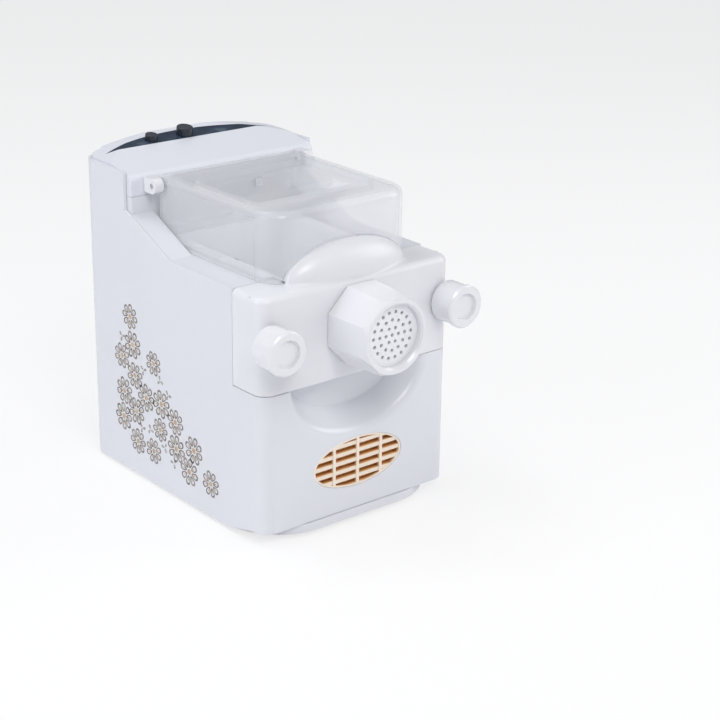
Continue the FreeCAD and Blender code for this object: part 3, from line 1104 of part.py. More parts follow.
plate = box("plate_blank", (f"-{DECK_HALF}", DECK_HALF), (GEAR_PLATE, PLATE_BACK), (TRAY_TOP, PLATE_TOP))
windows = [box("plate_window_" + tag, side_span(sign, "54", "90")[:1] + side_span(sign, "54", "90")[1:],
               (f"{GEAR_PLATE} - 1", f"{PLATE_BACK} + 1"), ("36", "122"))
           for tag, sign in (("left", "-1"), ("right", "1"))]
piece(cut("plate_cut", plate, *windows,
          rod("plate_bearing_hole", "y", f"{BEARING_OUT} + running_clearance", f"{GEAR_PLATE} - 1",
              f"{PLATE_BACK} + 1", "0", "axis_height"),
          rod("plate_pin_hole", "y", "gear_pin_radius + running_clearance", f"{GEAR_PLATE} - 1",
              f"{PLATE_BACK} + 1", "0", MIDDLE_AXIS),
          rod("plate_motor_hole", "y", "motor_shaft_radius + 2", f"{GEAR_PLATE} - 1", f"{PLATE_BACK} + 1",
              "0", MOTOR_AXIS),
          *rods("plate_ear_hole", "screw_radius_small + running_clearance", f"{GEAR_PLATE} - 1",
                f"{PLATE_BACK} + 1", ear_places),
          *rods("plate_motor_screw", "screw_radius_small + part_gap", f"{GEAR_PLATE} - 1",
                f"{PLATE_BACK} + 1", motor_screw_places)), "gearbox_plate")
cover_walls = [rod(f"gear_wall_{number}", "y", f"{radius} + gear_air + gearbox_wall", PLATE_BACK,
                   f"{GEARBOX_BACK} + gearbox_wall", "0", height) for number, (height, radius) in enumerate(gear_rooms)]
cover_rooms = [rod(f"gear_room_{number}", "y", f"{radius} + gear_air", f"{PLATE_BACK} - 1", GEARBOX_BACK,
                   "0", height) for number, (height, radius) in enumerate(gear_rooms)]
bearing_boss = rod("bearing_boss", "y", f"{BEARING_OUT} + 3", f"{GEARBOX_BACK}", f"{GEARBOX_BACK} + gearbox_wall + 3",
                   "0", "axis_height")
piece(cut("gear_cover_cut", join("gear_cover_sum", cut("gear_case", join("gear_walls", *cover_walls), *cover_rooms),
                                 bearing_boss, *rods("gear_ear", "6", PLATE_BACK, f"{PLATE_BACK} + 6", ear_places)),
          rod("cover_bearing_hole", "y", f"{BEARING_OUT} + running_clearance", f"{GEARBOX_BACK} - 1",
              f"{GEARBOX_BACK} + gearbox_wall + 4", "0", "axis_height"),
          rod("cover_pin_hole", "y", "gear_pin_radius + running_clearance", f"{GEARBOX_BACK} - 1",
              f"{GEARBOX_BACK} + gearbox_wall + 1", "0", MIDDLE_AXIS),
          *rods("gear_ear_hole", "screw_radius_small + part_gap", f"{PLATE_BACK} - 1", f"{PLATE_BACK} + 7",
                ear_places)), "gearbox_cover")


def cap_screws(name, places, tip, seat):
    """Equal screws along Y, pointing to the front, with their heads on a seat."""
    shanks = rods(name + "_shank", "screw_radius_small", tip, f"{seat} + 0.5", places)
    heads = rods(name + "_head", "2 * screw_radius_small", seat, f"{seat} + 2", places)
    return join(name, *[join(f"{name}_{number}_screw", *pair) for number, pair in enumerate(zip(shanks, heads))])


piece(cap_screws("gear_screw", ear_places, GEAR_PLATE, f"{PLATE_BACK} + 6"), "gearbox_screws")
piece(cap_screws("motor_screw", motor_screw_places, f"{GEAR_PLATE} - 2.6", PLATE_BACK), "motor_screws")


# Motor with its cooling fan, on a cradle

motor_shell = rod("motor_shell", "y", "motor_radius", f"{MOTOR_FRONT} + 3", GEAR_PLATE, "0", MOTOR_AXIS)
motor_space = rod("motor_space", "y", "motor_radius - motor_wall", f"{MOTOR_FRONT}", f"{GEAR_PLATE} - 3",
                  "0", MOTOR_AXIS)
piece(cut("motor_can_cut", motor_shell, motor_space,
          rod("can_bearing", "y", "motor_shaft_radius + running_clearance", f"{GEAR_PLATE} - 4",
              f"{GEAR_PLATE} + 1", "0", MOTOR_AXIS),
          *rods("can_screw_hole", "screw_radius_small + running_clearance", f"{GEAR_PLATE} - 4",
                f"{GEAR_PLATE} + 1", motor_screw_places)), "motor_can")
piece(cut("motor_cap_cut", join(
    "motor_cap_sum", rod("motor_cap_disc", "y", "motor_radius", MOTOR_FRONT, f"{MOTOR_FRONT} + 3", "0", MOTOR_AXIS),
    rod("motor_cap_spigot", "y", "motor_radius - motor_wall - running_clearance", f"{MOTOR_FRONT} + 2",
        f"{MOTOR_FRONT} + 5", "0", MOTOR_AXIS)),
    rod("motor_cap_bore", "y", "motor_shaft_radius + running_clearance", f"{MOTOR_FRONT} - 1", f"{MOTOR_FRONT} + 6",
        "0", MOTOR_AXIS)), "motor_end_cap")
CORE = (f"{MOTOR_FRONT} + 16", f"{GEAR_PLATE} - 18")
piece(cut("stator_cut", rod("stator_out", "y", "motor_radius - motor_wall - running_clearance", *CORE, "0", MOTOR_AXIS),
          rod("stator_in", "y", "rotor_radius + rotor_air", f"{CORE[0]} - 1", f"{CORE[1]} + 1", "0", MOTOR_AXIS)),
      "motor_stator")
FAN = (f"{MOTOR_FRONT} - 2 - fan_width", f"{MOTOR_FRONT} - 2")
piece(join("rotor_sum", rod("rotor_core", "y", "rotor_radius", *CORE, "0", MOTOR_AXIS),
           rod("commutator", "y", "rotor_radius / 2", f"{CORE[1]} + 3", f"{CORE[1]} + 12", "0", MOTOR_AXIS),
           rod("motor_shaft", "y", "motor_shaft_radius", FAN[0], f"{FAST_FRONT} + gear_width + 1", "0", MOTOR_AXIS)),
      "motor_rotor")


def fan_blade(number):
    """One flat blade, twisted about its own length and turned to its place."""
    thickness = 1.6
    width = size("fan_width") - 1
    blade = Part.makeBox(thickness, width, size("fan_radius"), Vector(-thickness / 2, -width / 2, 0))
    blade.rotate(Vector(), Vector(0, 0, 1), 32)
    blade.rotate(Vector(), Vector(0, 1, 0), number * 360 / 7)
    return blade


blades = [computed(f"fan_blade_{number}", fan_blade(number), "0", f"{FAN[0]} + fan_width / 2", MOTOR_AXIS)
          for number in range(7)]
piece(cut("fan_cut", join("fan_sum", rod("fan_hub", "y", "motor_shaft_radius + 5", *FAN, "0", MOTOR_AXIS), *blades),
          rod("fan_bore", "y", "motor_shaft_radius + running_clearance / 2", f"{FAN[0]} - 1", f"{FAN[1]} + 1",
              "0", MOTOR_AXIS)), "motor_fan")
cradle_ends = [box(f"cradle_end_{number}", ("-28", "28"), (low, high), (TRAY_TOP, f"{MOTOR_AXIS} - motor_radius / 2"))
               for number, (low, high) in enumerate(((f"{CORE[0]} - 4", f"{CORE[0]} + 2"),
                                                     (f"{CORE[1]} - 2", f"{CORE[1]} + 4")))]
cradle_floor = box("cradle_floor", ("-28", "28"), (f"{CORE[0]} - 4", f"{CORE[1]} + 4"), (TRAY_TOP, f"{TRAY_TOP} + 4"))
piece(cut("cradle_cut", join("cradle_sum", cradle_floor, *cradle_ends),
          rod("cradle_seat", "y", "motor_radius + seat_gap", MOTOR_FRONT, GEAR_PLATE, "0", MOTOR_AXIS)), "motor_cradle")


# See-through lid with the hopper in its top

HOPPER_Y = f"({LID_FRONT} + hopper_run - hopper_length / 2)"
RECESS_Y = (f"{LID_FRONT} + recess_start", f"{LID_FRONT} + recess_start + recess_length")
RECESS_Z = "(lid_height - recess_depth)"


def lid_block(name, inset, low, high):
    body = prism(name, "XY_Plane", [
        (f"-(lid_half_width - {inset})", f"{LID_FRONT} + {inset}"), (f"lid_half_width - {inset}", f"{LID_FRONT} + {inset}"),
        (f"lid_half_width - {inset}", f"{LID_REAR} - {inset}"), (f"-(lid_half_width - {inset})", f"{LID_REAR} - {inset}"),
    ], low, high)
    fillet(body, f"lid_front_corner - {inset}", lambda edge: upright(edge) and edge.CenterOfMass.y < 0)
    fillet(body, f"lid_rear_corner - {inset}", lambda edge: upright(edge) and edge.CenterOfMass.y > size(f"{TOWER} - 20"))
    return fillet(body, f"lid_top_round - {inset}", lambda edge: abs(edge.CenterOfMass.z - size(high)) < 0.01)


def recess_block(name, grow, low, high):
    body = prism(name, "XY_Plane", [
        (f"-(recess_half_width + {grow})", f"{RECESS_Y[0]} - {grow}"), (f"recess_half_width + {grow}", f"{RECESS_Y[0]} - {grow}"),
        (f"recess_half_width + {grow}", f"{RECESS_Y[1]} + {grow}"), (f"-(recess_half_width + {grow})", f"{RECESS_Y[1]} + {grow}"),
    ], low, high)
    return fillet(body, f"10 + {grow}", upright)


def funnel(name, grow):
    """The hopper's tapered passage, from its mouth down to the slot."""
    body = doc.addObject("PartDesign::Body", name)
    ends = []
    for half_width, half_length, height in (
            ("slot_half_width", "slot_length / 2", "hopper_floor_height"),
            ("hopper_half_width", "hopper_length / 2", RECESS_Z)):
        wide = f"({half_width} + {grow})"
        long = f"({half_length} + {grow})"
        ends.append(polygon(body, "XY_Plane", [(f"-{wide}", f"{HOPPER_Y} - {long}"), (wide, f"{HOPPER_Y} - {long}"),
                                               (wide, f"{HOPPER_Y} + {long}"), (f"-{wide}", f"{HOPPER_Y} + {long}")], height))
    loft = body.newObject("PartDesign::AdditiveLoft", name + "_loft")
    loft.Profile = ends[0]
    loft.Sections = [ends[1]]
    loft.Ruled = True
    body.Tip = loft
    return body


LID_LOW = "(deck_height + part_gap)"
lid_shell = cut("lid_shell", lid_block("lid_outside", "0", LID_LOW, "lid_height"),
                lid_block("lid_inside", "lid_wall", "deck_height - 5", "lid_height - lid_wall"))
recess_skin = recess_block("recess_skin", "lid_wall", f"({RECESS_Z} - lid_wall)", "lid_height - 1")
pin_sides = [("left", "-1"), ("right", "1")]
pin_bosses = [rod("pin_boss_" + tag, "x", "pin_radius + 3.5", *side_span(sign, "lid_half_width - 6", "lid_half_width - 1"),
                  PIN_Y, "pin_height") for tag, sign in pin_sides]
pin_holes = [rod("pin_hole_" + tag, "x", "pin_radius + running_clearance",
                 *side_span(sign, "lid_half_width - 7", "lid_half_width + 1"), PIN_Y, "pin_height")
             for tag, sign in pin_sides]
rear_trim = box("lid_rear_trim", ("-body_width", "body_width"), (f"{PIN_Y} - 6", f"{TOWER}"),
                ("deck_height - 5", "deck_height + 12"))
piece(cut("lid_cut", join("lid_sum", lid_shell, recess_skin, funnel("funnel_outside", "lid_wall"), *pin_bosses),
          recess_block("recess_room", "0", RECESS_Z, "lid_height + 1"), funnel("funnel_inside", "0"),
          arch("lid_arch", "(-1)", f"{LID_FRONT} - 1", f"{LID_FRONT} + lid_wall + 6", "deck_height - 1"),
          rear_trim, *pin_holes), "lid")
for tag, sign in pin_sides:
    span = side_span(sign, "lid_half_width + 2", "lid_half_width + 2 + bracket_width")
    bracket = join("bracket_sum_" + tag, rod("bracket_eye_" + tag, "x", "pin_radius + 4.5", *span, PIN_Y, "pin_height"),
                   box("bracket_block_" + tag, span, (PIN_Y, f"{TOWER} - seat_gap"),
                       ("pin_height - pin_radius - 4.5", "pin_height + pin_radius + 4.5")))
    piece(cut("bracket_cut_" + tag, bracket, rod(
        "bracket_hole_" + tag, "x", "pin_radius + running_clearance", f"{span[0]} - 1", f"{span[1]} + 1",
        PIN_Y, "pin_height")), "hinge_bracket_" + tag)
pins = [rod("hinge_pin_" + tag, "x", "pin_radius", *side_span(sign, "lid_half_width - 5.5",
                                                             "lid_half_width + 1.5 + bracket_width"),
            PIN_Y, "pin_height") for tag, sign in pin_sides]
piece(join("hinge_pin_pair", *pins), "hinge_pins")
LID_INSIDE = f"({LID_REAR} - lid_wall)"
piece(box("lid_magnet_body", ("30", "38"), (f"{LID_INSIDE} - 3", LID_INSIDE), ("head_seam_height - 10", "head_seam_height - 2")), "lid_magnet")
piece(box("lid_sensor_body", ("28", "40"), (f"{TOWER} + shell_wall", f"{TOWER} + shell_wall + 4"),
          ("head_seam_height - 13", "head_seam_height - 1")),
      "lid_sensor")


# Power board and mains inlet at the rear

piece(box("power_board_body", BOARD_X, BOARD_Y, (BOARD_Z, f"{BOARD_Z} + 1.6")), "power_board")
piece(box("transformer_body", (f"{BOARD_X[0]} + 8", f"{BOARD_X[0]} + 34"), (f"{BOARD_Y[0]} + 12", f"{BOARD_Y[0]} + 36"),
          (f"{BOARD_Z} + 1.6", f"{BOARD_Z} + 24")), "power_transformer")
cans = [rod(f"capacitor_{number}", "z", "6", f"{BOARD_Z} + 1.6", f"{BOARD_Z} + 26", f"{BOARD_X[1]} - 14",
            f"{BOARD_Y[0]} + {shift}") for number, shift in enumerate((14, 30))]
piece(join("capacitor_pair", *cans), "power_capacitors")
INLET_BACK = f"({REAR} + 4.5)"
inlet_block = box("inlet_block", (f"{INLET_X} - 13.6", f"{INLET_X} + 13.6"), (f"{INLET_BACK} - 20", INLET_BACK),
                  (f"{INLET_Z} - 10.1", f"{INLET_Z} + 10.1"))
inlet_flange = box("inlet_flange", (f"{INLET_X} - 17", f"{INLET_X} + 17"), (f"{INLET_BACK} - 7.5", f"{INLET_BACK} - 4.5"),
                   (f"{INLET_Z} - 13.5", f"{INLET_Z} + 13.5"))
inlet_space = box("inlet_space", (f"{INLET_X} - 12", f"{INLET_X} + 12"), (f"{INLET_BACK} - 16.5", f"{INLET_BACK} + 1"),
                  (f"{INLET_Z} - 8", f"{INLET_Z} + 8"))
piece(cut("inlet_cut", join("inlet_sum", inlet_block, inlet_flange), inlet_space), "mains_inlet")
blade_places = [("-7", "-2"), ("0", "2"), ("7", "-2")]
inlet_blades = [box(f"inlet_blade_{number}", (f"{INLET_X} + {x} - 1", f"{INLET_X} + {x} + 1"),
                    (f"{INLET_BACK} - 16.5", f"{INLET_BACK} - 3"), (f"{INLET_Z} + {z} - 2", f"{INLET_Z} + {z} + 2"))
                for number, (x, z) in enumerate(blade_places)]
piece(join("inlet_blade_set", *inlet_blades), "inlet_pins")


# Check every object, then write each sub-part

doc.recompute()
for thing in doc.Objects:
    if "Invalid" in thing.State or "Error" in thing.State:
        raise RuntimeError(f"{thing.Name} failed: {thing.getStatusString()}")
for thing in pieces:
    if thing.Shape.isNull() or not thing.Shape.isValid():
        raise RuntimeError(f"{thing.Label} has no valid shape")
os.makedirs("parts", exist_ok=True)
for thing in pieces:
    thing.Shape.exportStep(f"parts/{thing.Label}.step")
print(len(pieces), "sub-parts written")
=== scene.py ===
import json
import bpy
import numpy as np
from mathutils import Matrix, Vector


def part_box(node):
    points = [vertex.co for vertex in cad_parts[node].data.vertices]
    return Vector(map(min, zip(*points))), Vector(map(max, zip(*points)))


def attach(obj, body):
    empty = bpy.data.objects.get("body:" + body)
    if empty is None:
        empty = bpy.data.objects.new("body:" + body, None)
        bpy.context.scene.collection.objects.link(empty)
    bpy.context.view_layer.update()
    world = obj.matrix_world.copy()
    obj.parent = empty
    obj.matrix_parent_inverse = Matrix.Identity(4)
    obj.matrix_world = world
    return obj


# Electric pasta maker: finishes, side ornament, light and camera, in metres

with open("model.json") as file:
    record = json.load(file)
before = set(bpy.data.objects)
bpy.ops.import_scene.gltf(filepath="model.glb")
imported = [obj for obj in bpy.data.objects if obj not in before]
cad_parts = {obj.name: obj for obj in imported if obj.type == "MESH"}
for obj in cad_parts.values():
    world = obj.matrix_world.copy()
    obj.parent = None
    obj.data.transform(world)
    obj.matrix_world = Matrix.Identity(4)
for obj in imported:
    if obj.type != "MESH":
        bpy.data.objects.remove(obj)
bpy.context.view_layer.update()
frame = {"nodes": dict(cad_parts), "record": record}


# Building blocks of the finishes

class Finish:
    """A procedural material whose patterns all lie on Object coordinates."""

    def __init__(self, name, colour, roughness, **shader_values):
        self.material = bpy.data.materials.new(name)
        self.material.use_nodes = True
        self.nodes = self.material.node_tree.nodes
        self.links = self.material.node_tree.links
        self.shader = self.nodes["Principled BSDF"]
        self.shader.inputs["Base Color"].default_value = (*colour, 1)
        self.shader.inputs["Roughness"].default_value = roughness
        for socket, value in shader_values.items():
            self.shader.inputs[socket.replace("_", " ")].default_value = value
        self.place = self.add("ShaderNodeTexCoord").outputs["Object"]
        self.material.diffuse_color = (*colour, 1)

    def add(self, kind, **values):
        """A new node with its settings."""
        node = self.nodes.new(kind)
        for name, value in values.items():
            setattr(node, name, value)
        return node

    def feed(self, socket, source):
        """Links a source into a socket."""
        self.links.new(source, socket)

    def stretched(self, scale):
        """Object coordinates scaled apart on the three axes."""
        mapping = self.add("ShaderNodeMapping")
        mapping.inputs["Scale"].default_value = scale
        self.feed(mapping.inputs["Vector"], self.place)
        return mapping.outputs["Vector"]

    def noise(self, scale, detail=2, place=None):
        """Cloudy values round a half."""
        node = self.add("ShaderNodeTexNoise")
        node.inputs["Scale"].default_value = scale
        node.inputs["Detail"].default_value = detail
        self.feed(node.inputs["Vector"], place or self.place)
        return node.outputs["Fac"]

    def cells(self, scale):
        """Distance from the middles of a field of cells."""
        node = self.add("ShaderNodeTexVoronoi")
        node.inputs["Scale"].default_value = scale
        self.feed(node.inputs["Vector"], self.place)
        return node.outputs["Distance"]

    def bands(self, scale, axis):
        """Soft stripes across an axis."""
        node = self.add("ShaderNodeTexWave", bands_direction=axis)
        node.inputs["Scale"].default_value = scale
        self.feed(node.inputs["Vector"], self.place)
        return node.outputs["Fac"]

    def spread(self, source, low, high, start=0.35, end=0.65):
        """A value that runs from low to high while the source runs from start to end."""
        node = self.add("ShaderNodeMapRange")
        for socket, value in (("From Min", start), ("From Max", end), ("To Min", low), ("To Max", high)):
            node.inputs[socket].default_value = value
        self.feed(node.inputs["Value"], source)
        return node.outputs["Result"]

    def shades(self, source, *stops):
        """Colours along the source; each stop is a position and a colour."""
        ramp = self.add("ShaderNodeValToRGB")
        for index, (position, colour) in enumerate(stops):
            element = ramp.color_ramp.elements[index] if index < 2 else ramp.color_ramp.elements.new(position)
            element.position = position
            element.color = (*colour, 1)
        self.feed(ramp.inputs["Fac"], source)
        self.feed(self.shader.inputs["Base Color"], ramp.outputs["Color"])

    def gloss(self, source, smooth, rough):
        """Roughness that follows the source from smooth to rough."""
        self.feed(self.shader.inputs["Roughness"], self.spread(source, smooth, rough))

    def relief(self, source, depth, strength=1.0):
        """Bumps of the source, depth metres high; a second call adds to the first."""
        bump = self.add("ShaderNodeBump")
        bump.inputs["Strength"].default_value = strength
        bump.inputs["Distance"].default_value = depth
        self.feed(bump.inputs["Height"], source)
        normal = self.shader.inputs["Normal"]
        if normal.is_linked:
            self.feed(bump.inputs["Normal"], normal.links[0].from_socket)
        self.feed(normal, bump.outputs["Normal"])


def tinted(colour, factor):
    """The colour made lighter or darker, and never over white."""
    return tuple(min(1.0, channel * factor) for channel in colour)


def moulded_plastic(name, colour, roughness, grain=900, depth=0.00002, cast=1.008, **values):
    """Injection moulded plastic: fine spark grain, faint flow waves and a slight unevenness in tint and gloss."""
    finish = Finish(name, colour, roughness, **values)
    cloud = finish.noise(6, 2)
    finish.shades(cloud, (0.3, tinted(colour, 1 / cast)), (0.7, tinted(colour, cast)))
    finish.gloss(finish.noise(12, 2), roughness - 0.02, roughness + 0.03)
    finish.relief(finish.noise(grain, 2), depth, 0.35)
    finish.relief(finish.noise(11, 1), 0.0003, 0.05)
    return finish


def worn_metal(name, colour, roughness, stretch, metallic=1.0):
    """Metal with fine lines drawn out along one axis and patchy gloss."""
    finish = Finish(name, colour, roughness, Metallic=metallic)
    lines = finish.noise(420, 3, finish.stretched(stretch))
    finish.shades(lines, (0.3, tinted(colour, 0.86)), (0.7, tinted(colour, 1.08)))
    finish.gloss(finish.noise(60, 4), roughness - 0.06, roughness + 0.1)
    finish.relief(lines, 0.00003, 0.4)
    return finish


# One finish for every material slot of the record

def white_shell():
    return moulded_plastic("white_shell", (0.745, 0.755, 0.80), 0.3, Coat_Weight=0.25, Coat_Roughness=0.18)


def white_cover():
    return moulded_plastic("white_cover", (0.79, 0.797, 0.83), 0.32, grain=1400, depth=0.00001, Coat_Weight=0.12,
                           Coat_Roughness=0.2)


def white_head():
    return moulded_plastic("white_head", (0.755, 0.775, 0.83), 0.3, Coat_Weight=0.25, Coat_Roughness=0.18)


def white_knob():
    return moulded_plastic("white_knob", (0.80, 0.805, 0.835), 0.22, grain=1400, depth=0.00001, Coat_Weight=0.4,
                           Coat_Roughness=0.12)


def white_base():
    return moulded_plastic("white_base", (0.76, 0.77, 0.81), 0.42, grain=700, depth=0.00003)


def tub_plastic():
    return moulded_plastic("tub_plastic", (0.84, 0.855, 0.89), 0.28)


def white_mixer():
    return moulded_plastic("white_mixer", (0.83, 0.84, 0.87), 0.3)


def inner_plastic():
    return moulded_plastic("inner_plastic", (0.10, 0.105, 0.115), 0.5, grain=500, depth=0.00004)


def component_black():
    return moulded_plastic("component_black", (0.012, 0.012, 0.014), 0.4, grain=800, depth=0.00003, cast=1.2)


def control_dark():
    return moulded_plastic("control_dark", (0.015, 0.02, 0.032), 0.36, grain=1300, depth=0.00001, cast=1.15,
                           Coat_Weight=0.1, Coat_Roughness=0.1)


def gear_plastic():
    return moulded_plastic("gear_plastic", (0.68, 0.62, 0.48), 0.42, grain=450, depth=0.00003, cast=1.05)


def clear_lid():
    """Clear moulded plastic, glossy and a little milky, with faint flow waves from the gate."""
    finish = Finish("clear_lid", (0.95, 0.955, 0.98), 0.05, Alpha=0.3, Coat_Weight=1, Coat_Roughness=0.03)
    finish.shades(finish.noise(14, 2), (0.35, (0.92, 0.935, 0.98)), (0.65, (0.95, 0.955, 0.975)))
    finish.gloss(finish.noise(45, 4), 0.03, 0.09)
    finish.relief(finish.noise(28, 2), 0.0002, 0.15)
    return finish


def dark_panel():
    """Smoked glossy window with a greyer display field and faint swirl in the print behind it."""
    finish = Finish("dark_panel", (0.02, 0.03, 0.05), 0.14, Specular_IOR_Level=0.06)
    swirl = finish.noise(26, 5)
    finish.shades(swirl, (0.34, (0.013, 0.02, 0.036)), (0.58, (0.035, 0.052, 0.082)), (0.72, (0.13, 0.17, 0.22)))
    finish.gloss(finish.noise(60, 3), 0.1, 0.18)
    finish.relief(finish.noise(30, 1), 0.0003, 0.1)
    return finish


def louvre_cream():
    """Pale cream at the slats' front edges, with painted shade and a painted orange glow from the filter behind
    them turning the slats amber, then brown, further into the slots.
    """
    finish = Finish("louvre_cream", (0.90, 0.78, 0.62), 0.42)
    split = finish.add("ShaderNodeSeparateXYZ")
    finish.feed(split.inputs[0], finish.place)
    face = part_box("vent_grille")[0][1]
    # Painted shade and painted filter glow: the slats darken from cream to amber and brown the deeper they sit in
    # the slots.
    depth = finish.spread(split.outputs["Y"], 0, 1, face, face + 0.0045)
    finish.shades(depth, (0.16, (0.90, 0.80, 0.68)), (0.34, (0.85, 0.50, 0.20)), (0.9, (0.42, 0.15, 0.04)))
    finish.relief(finish.noise(800, 2), 0.00003, 0.35)
    return finish


def filter_foam():
    """Open foam: orange-brown walls, with painted shade darkening the sunken middle of every cell."""
    finish = Finish("filter_foam", (0.46, 0.17, 0.035), 0.95, Sheen_Weight=0.15)
    cells = finish.cells(520)
    # Painted shade: the middles of the pores, which the bump below sinks, are darker than the walls.
    finish.shades(cells, (0.15, (0.20, 0.062, 0.012)), (0.55, (0.56, 0.23, 0.05)))
    finish.relief(cells, 0.0009, 0.8)
    return finish


def rubber_grey():
    finish = moulded_plastic("rubber_grey", (0.045, 0.045, 0.05), 0.78, grain=380, depth=0.00008, cast=1.12)
    finish.relief(finish.cells(240), 0.0001, 0.4)
    return finish


def seal_silicone():
    return moulded_plastic("seal_silicone", (0.78, 0.78, 0.77), 0.55, grain=600, depth=0.00003,
                           Subsurface_Weight=0.15, Subsurface_Scale=0.002)


def board_green():
    """Lacquered circuit board with the weave showing through and paler copper runs."""
    finish = Finish("board_green", (0.012, 0.10, 0.04), 0.3, Coat_Weight=0.5, Coat_Roughness=0.1)
    runs = finish.bands(60, "DIAGONAL")
    finish.shades(runs, (0.45, (0.010, 0.085, 0.035)), (0.62, (0.03, 0.17, 0.07)))
    finish.relief(finish.noise(900, 1), 0.00003, 0.5)
    return finish


def steel():
    return worn_metal("steel", (0.62, 0.63, 0.65), 0.26, (1, 0.06, 1))


def stator_steel():
    """Stacked sheets: dark lines across the axis."""
    finish = worn_metal("stator_steel", (0.20, 0.205, 0.215), 0.42, (1, 1, 1))
    finish.relief(finish.bands(320, "Y"), 0.0002, 0.6)
    return finish


def zinc_plate():
    """Zinc-plated sheet with large pale crystals."""
    finish = worn_metal("zinc_plate", (0.46, 0.475, 0.50), 0.38, (1, 1, 1))
    crystals = finish.cells(110)
    finish.shades(crystals, (0.1, (0.40, 0.415, 0.44)), (0.6, (0.53, 0.545, 0.57)))
    return finish


def brass():
    return worn_metal("brass", (0.72, 0.50, 0.20), 0.3, (1, 1, 0.1))


FINISHES = {make.__name__: make().material for make in (
    white_shell, white_cover, white_head, white_knob, white_base, tub_plastic, white_mixer, inner_plastic,
    component_black, control_dark, gear_plastic, clear_lid, dark_panel, louvre_cream, filter_foam, rubber_grey,
    seal_silicone, board_green, steel, stator_steel, zinc_plate, brass)}

for subpart in frame["record"]["subparts"]:
    for slot in frame["nodes"][subpart["node"]].material_slots:
        slot.material = FINISHES[subpart["material_slot"]]


# Side ornament: a printed field of eight-petalled daisies, buds and leaves

PRINT_LIFT = 0.00012
PETAL_STEPS = 20
PETALS = 8
DAISY_GAP = 0.0246
BUD_GAP = 0.0125
BUD_CLEARANCE = 0.0165
LEAF_REACH = 0.0052
wall_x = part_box("main_housing")[0][0] - PRINT_LIFT


def petal_rings(centres, headings, reach, width, start=0.28, line=0.2):
    """Outlines of petals as closed strips. In a petal's own frame, with t round the outline, a point lies at
    along = reach * (start + (1 - start) * rise) and across = width * sin t * (0.45 + 0.55 * rise), where
    rise = (1 - cos t) / 2;
    the inner edge of the strip is the same curve shrunk about the petal's middle."""
    t = np.linspace(0, 2 * np.pi, PETAL_STEPS, endpoint=False)
    rise = (1 - np.cos(t)) / 2
    middle = (1 + start) / 2
    rings = []
    for shrink in (1.0, 1.0 - 2 * line):
        along = middle + shrink * (start + (1 - start) * rise - middle)
        across = shrink * np.sin(t) * (0.45 + 0.55 * rise)
        rings.append(np.stack([along, across], 1))
    shape = np.stack(rings)
    forward = np.stack([np.cos(headings), np.sin(headings)], 1)
    sideways = np.stack([-np.sin(headings), np.cos(headings)], 1)
    lengthways = reach[:, None, None, None] * shape[None, ..., :1] * forward[:, None, None, :]
    crossways = width[:, None, None, None] * shape[None, ..., 1:] * sideways[:, None, None, :]
    return centres[:, None, None, :] + lengthways + crossways


def strips_mesh(rings):
    """Quads between the outer and the inner ring of every strip, seen from the outside of the left wall."""
    count, _, steps, _ = rings.shape
    flat = rings.reshape(-1, 2)
    points = np.stack([np.full(len(flat), wall_x), flat[:, 0], flat[:, 1]], 1)
    first = (np.arange(count) * 2 * steps)[:, None]
    here = np.arange(steps)[None, :]
    following = (here + 1) % steps
    quads = np.stack([first + here, first + steps + here, first + steps + following, first + following], -1)
    return points, quads.reshape(-1, 4)


def discs(centres, radius, steps=12):
    """Flat round spots as strips from a rim to a tiny ring at the middle: centre + radius * (cos t, sin t)."""
    t = np.linspace(0, 2 * np.pi, steps, endpoint=False)
    circle = np.stack([np.cos(t), np.sin(t)], 1)[None]
    rim = centres[:, None, :] + radius[:, None, None] * circle
    inner = centres[:, None, :] + 0.02 * radius[:, None, None] * circle
    return np.stack([rim, inner], 1)


def scattered(field, gap, tries, seed):
    """Places inside a triangle, each at least gap from the ones before it."""
    draw = np.random.default_rng(seed)
    weights = draw.dirichlet((1, 1, 1), tries)
    chosen = []
    for place in weights @ field:
        if all(np.hypot(*(place - other)) > gap for other in chosen):
            chosen.append(place)
    return np.array(chosen)


def printed(name, rings, material):
    """A flat printed piece on the left wall, facing outwards."""
    points, quads = strips_mesh(rings)
    mesh = bpy.data.meshes.new(name)
    mesh.from_pydata(points.tolist(), [], quads.tolist())
    side = np.zeros(len(mesh.polygons) * 3)
    mesh.polygons.foreach_get("normal", side)
    if side[0::3].sum() > 0:
        mesh.flip_normals()
    mesh.materials.append(material)
    thing = bpy.data.objects.new(name, mesh)
    bpy.context.scene.collection.objects.link(thing)
    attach(thing, "machine")


def print_ink(name, dark, pale, roughness):
    """Printed ink with uneven cover: two tones mixed by a fine cloud."""
    finish = Finish(name, dark, roughness, Coat_Weight=0.2, Coat_Roughness=0.2)
    finish.shades(finish.noise(140, 3), (0.38, dark), (0.62, pale))
    finish.relief(finish.noise(1200, 1), 0.00001, 0.3)
    return finish.material


field = np.array([(0.104, 0.178), (0.104, 0.034), (-0.046, 0.034)])
daisies = scattered(field, DAISY_GAP, 6000, 11)
draw = np.random.default_rng(4)
size = draw.uniform(0.0118, 0.0142, len(daisies))
turn = draw.uniform(0, np.pi / 4, len(daisies))
spokes = np.arange(PETALS) * 2 * np.pi / PETALS
petal_centres = np.repeat(daisies, PETALS, 0)
petal_headings = (turn[:, None] + spokes).ravel()
petal_reach = np.repeat(size, PETALS)
petals = petal_rings(petal_centres, petal_headings, petal_reach, petal_reach * 0.31)
veins = petal_rings(petal_centres, petal_headings, petal_reach * 0.72, petal_reach * 0.05, 0.45, 0.45)
hearts = discs(daisies, size * 0.2)
buds_at = scattered(field * 0.98 + 0.001, BUD_GAP, 1600, 23)
apart = np.hypot(*(buds_at[:, None] - daisies[None]).transpose(2, 0, 1)).min(1)
buds_at = buds_at[apart > BUD_CLEARANCE]
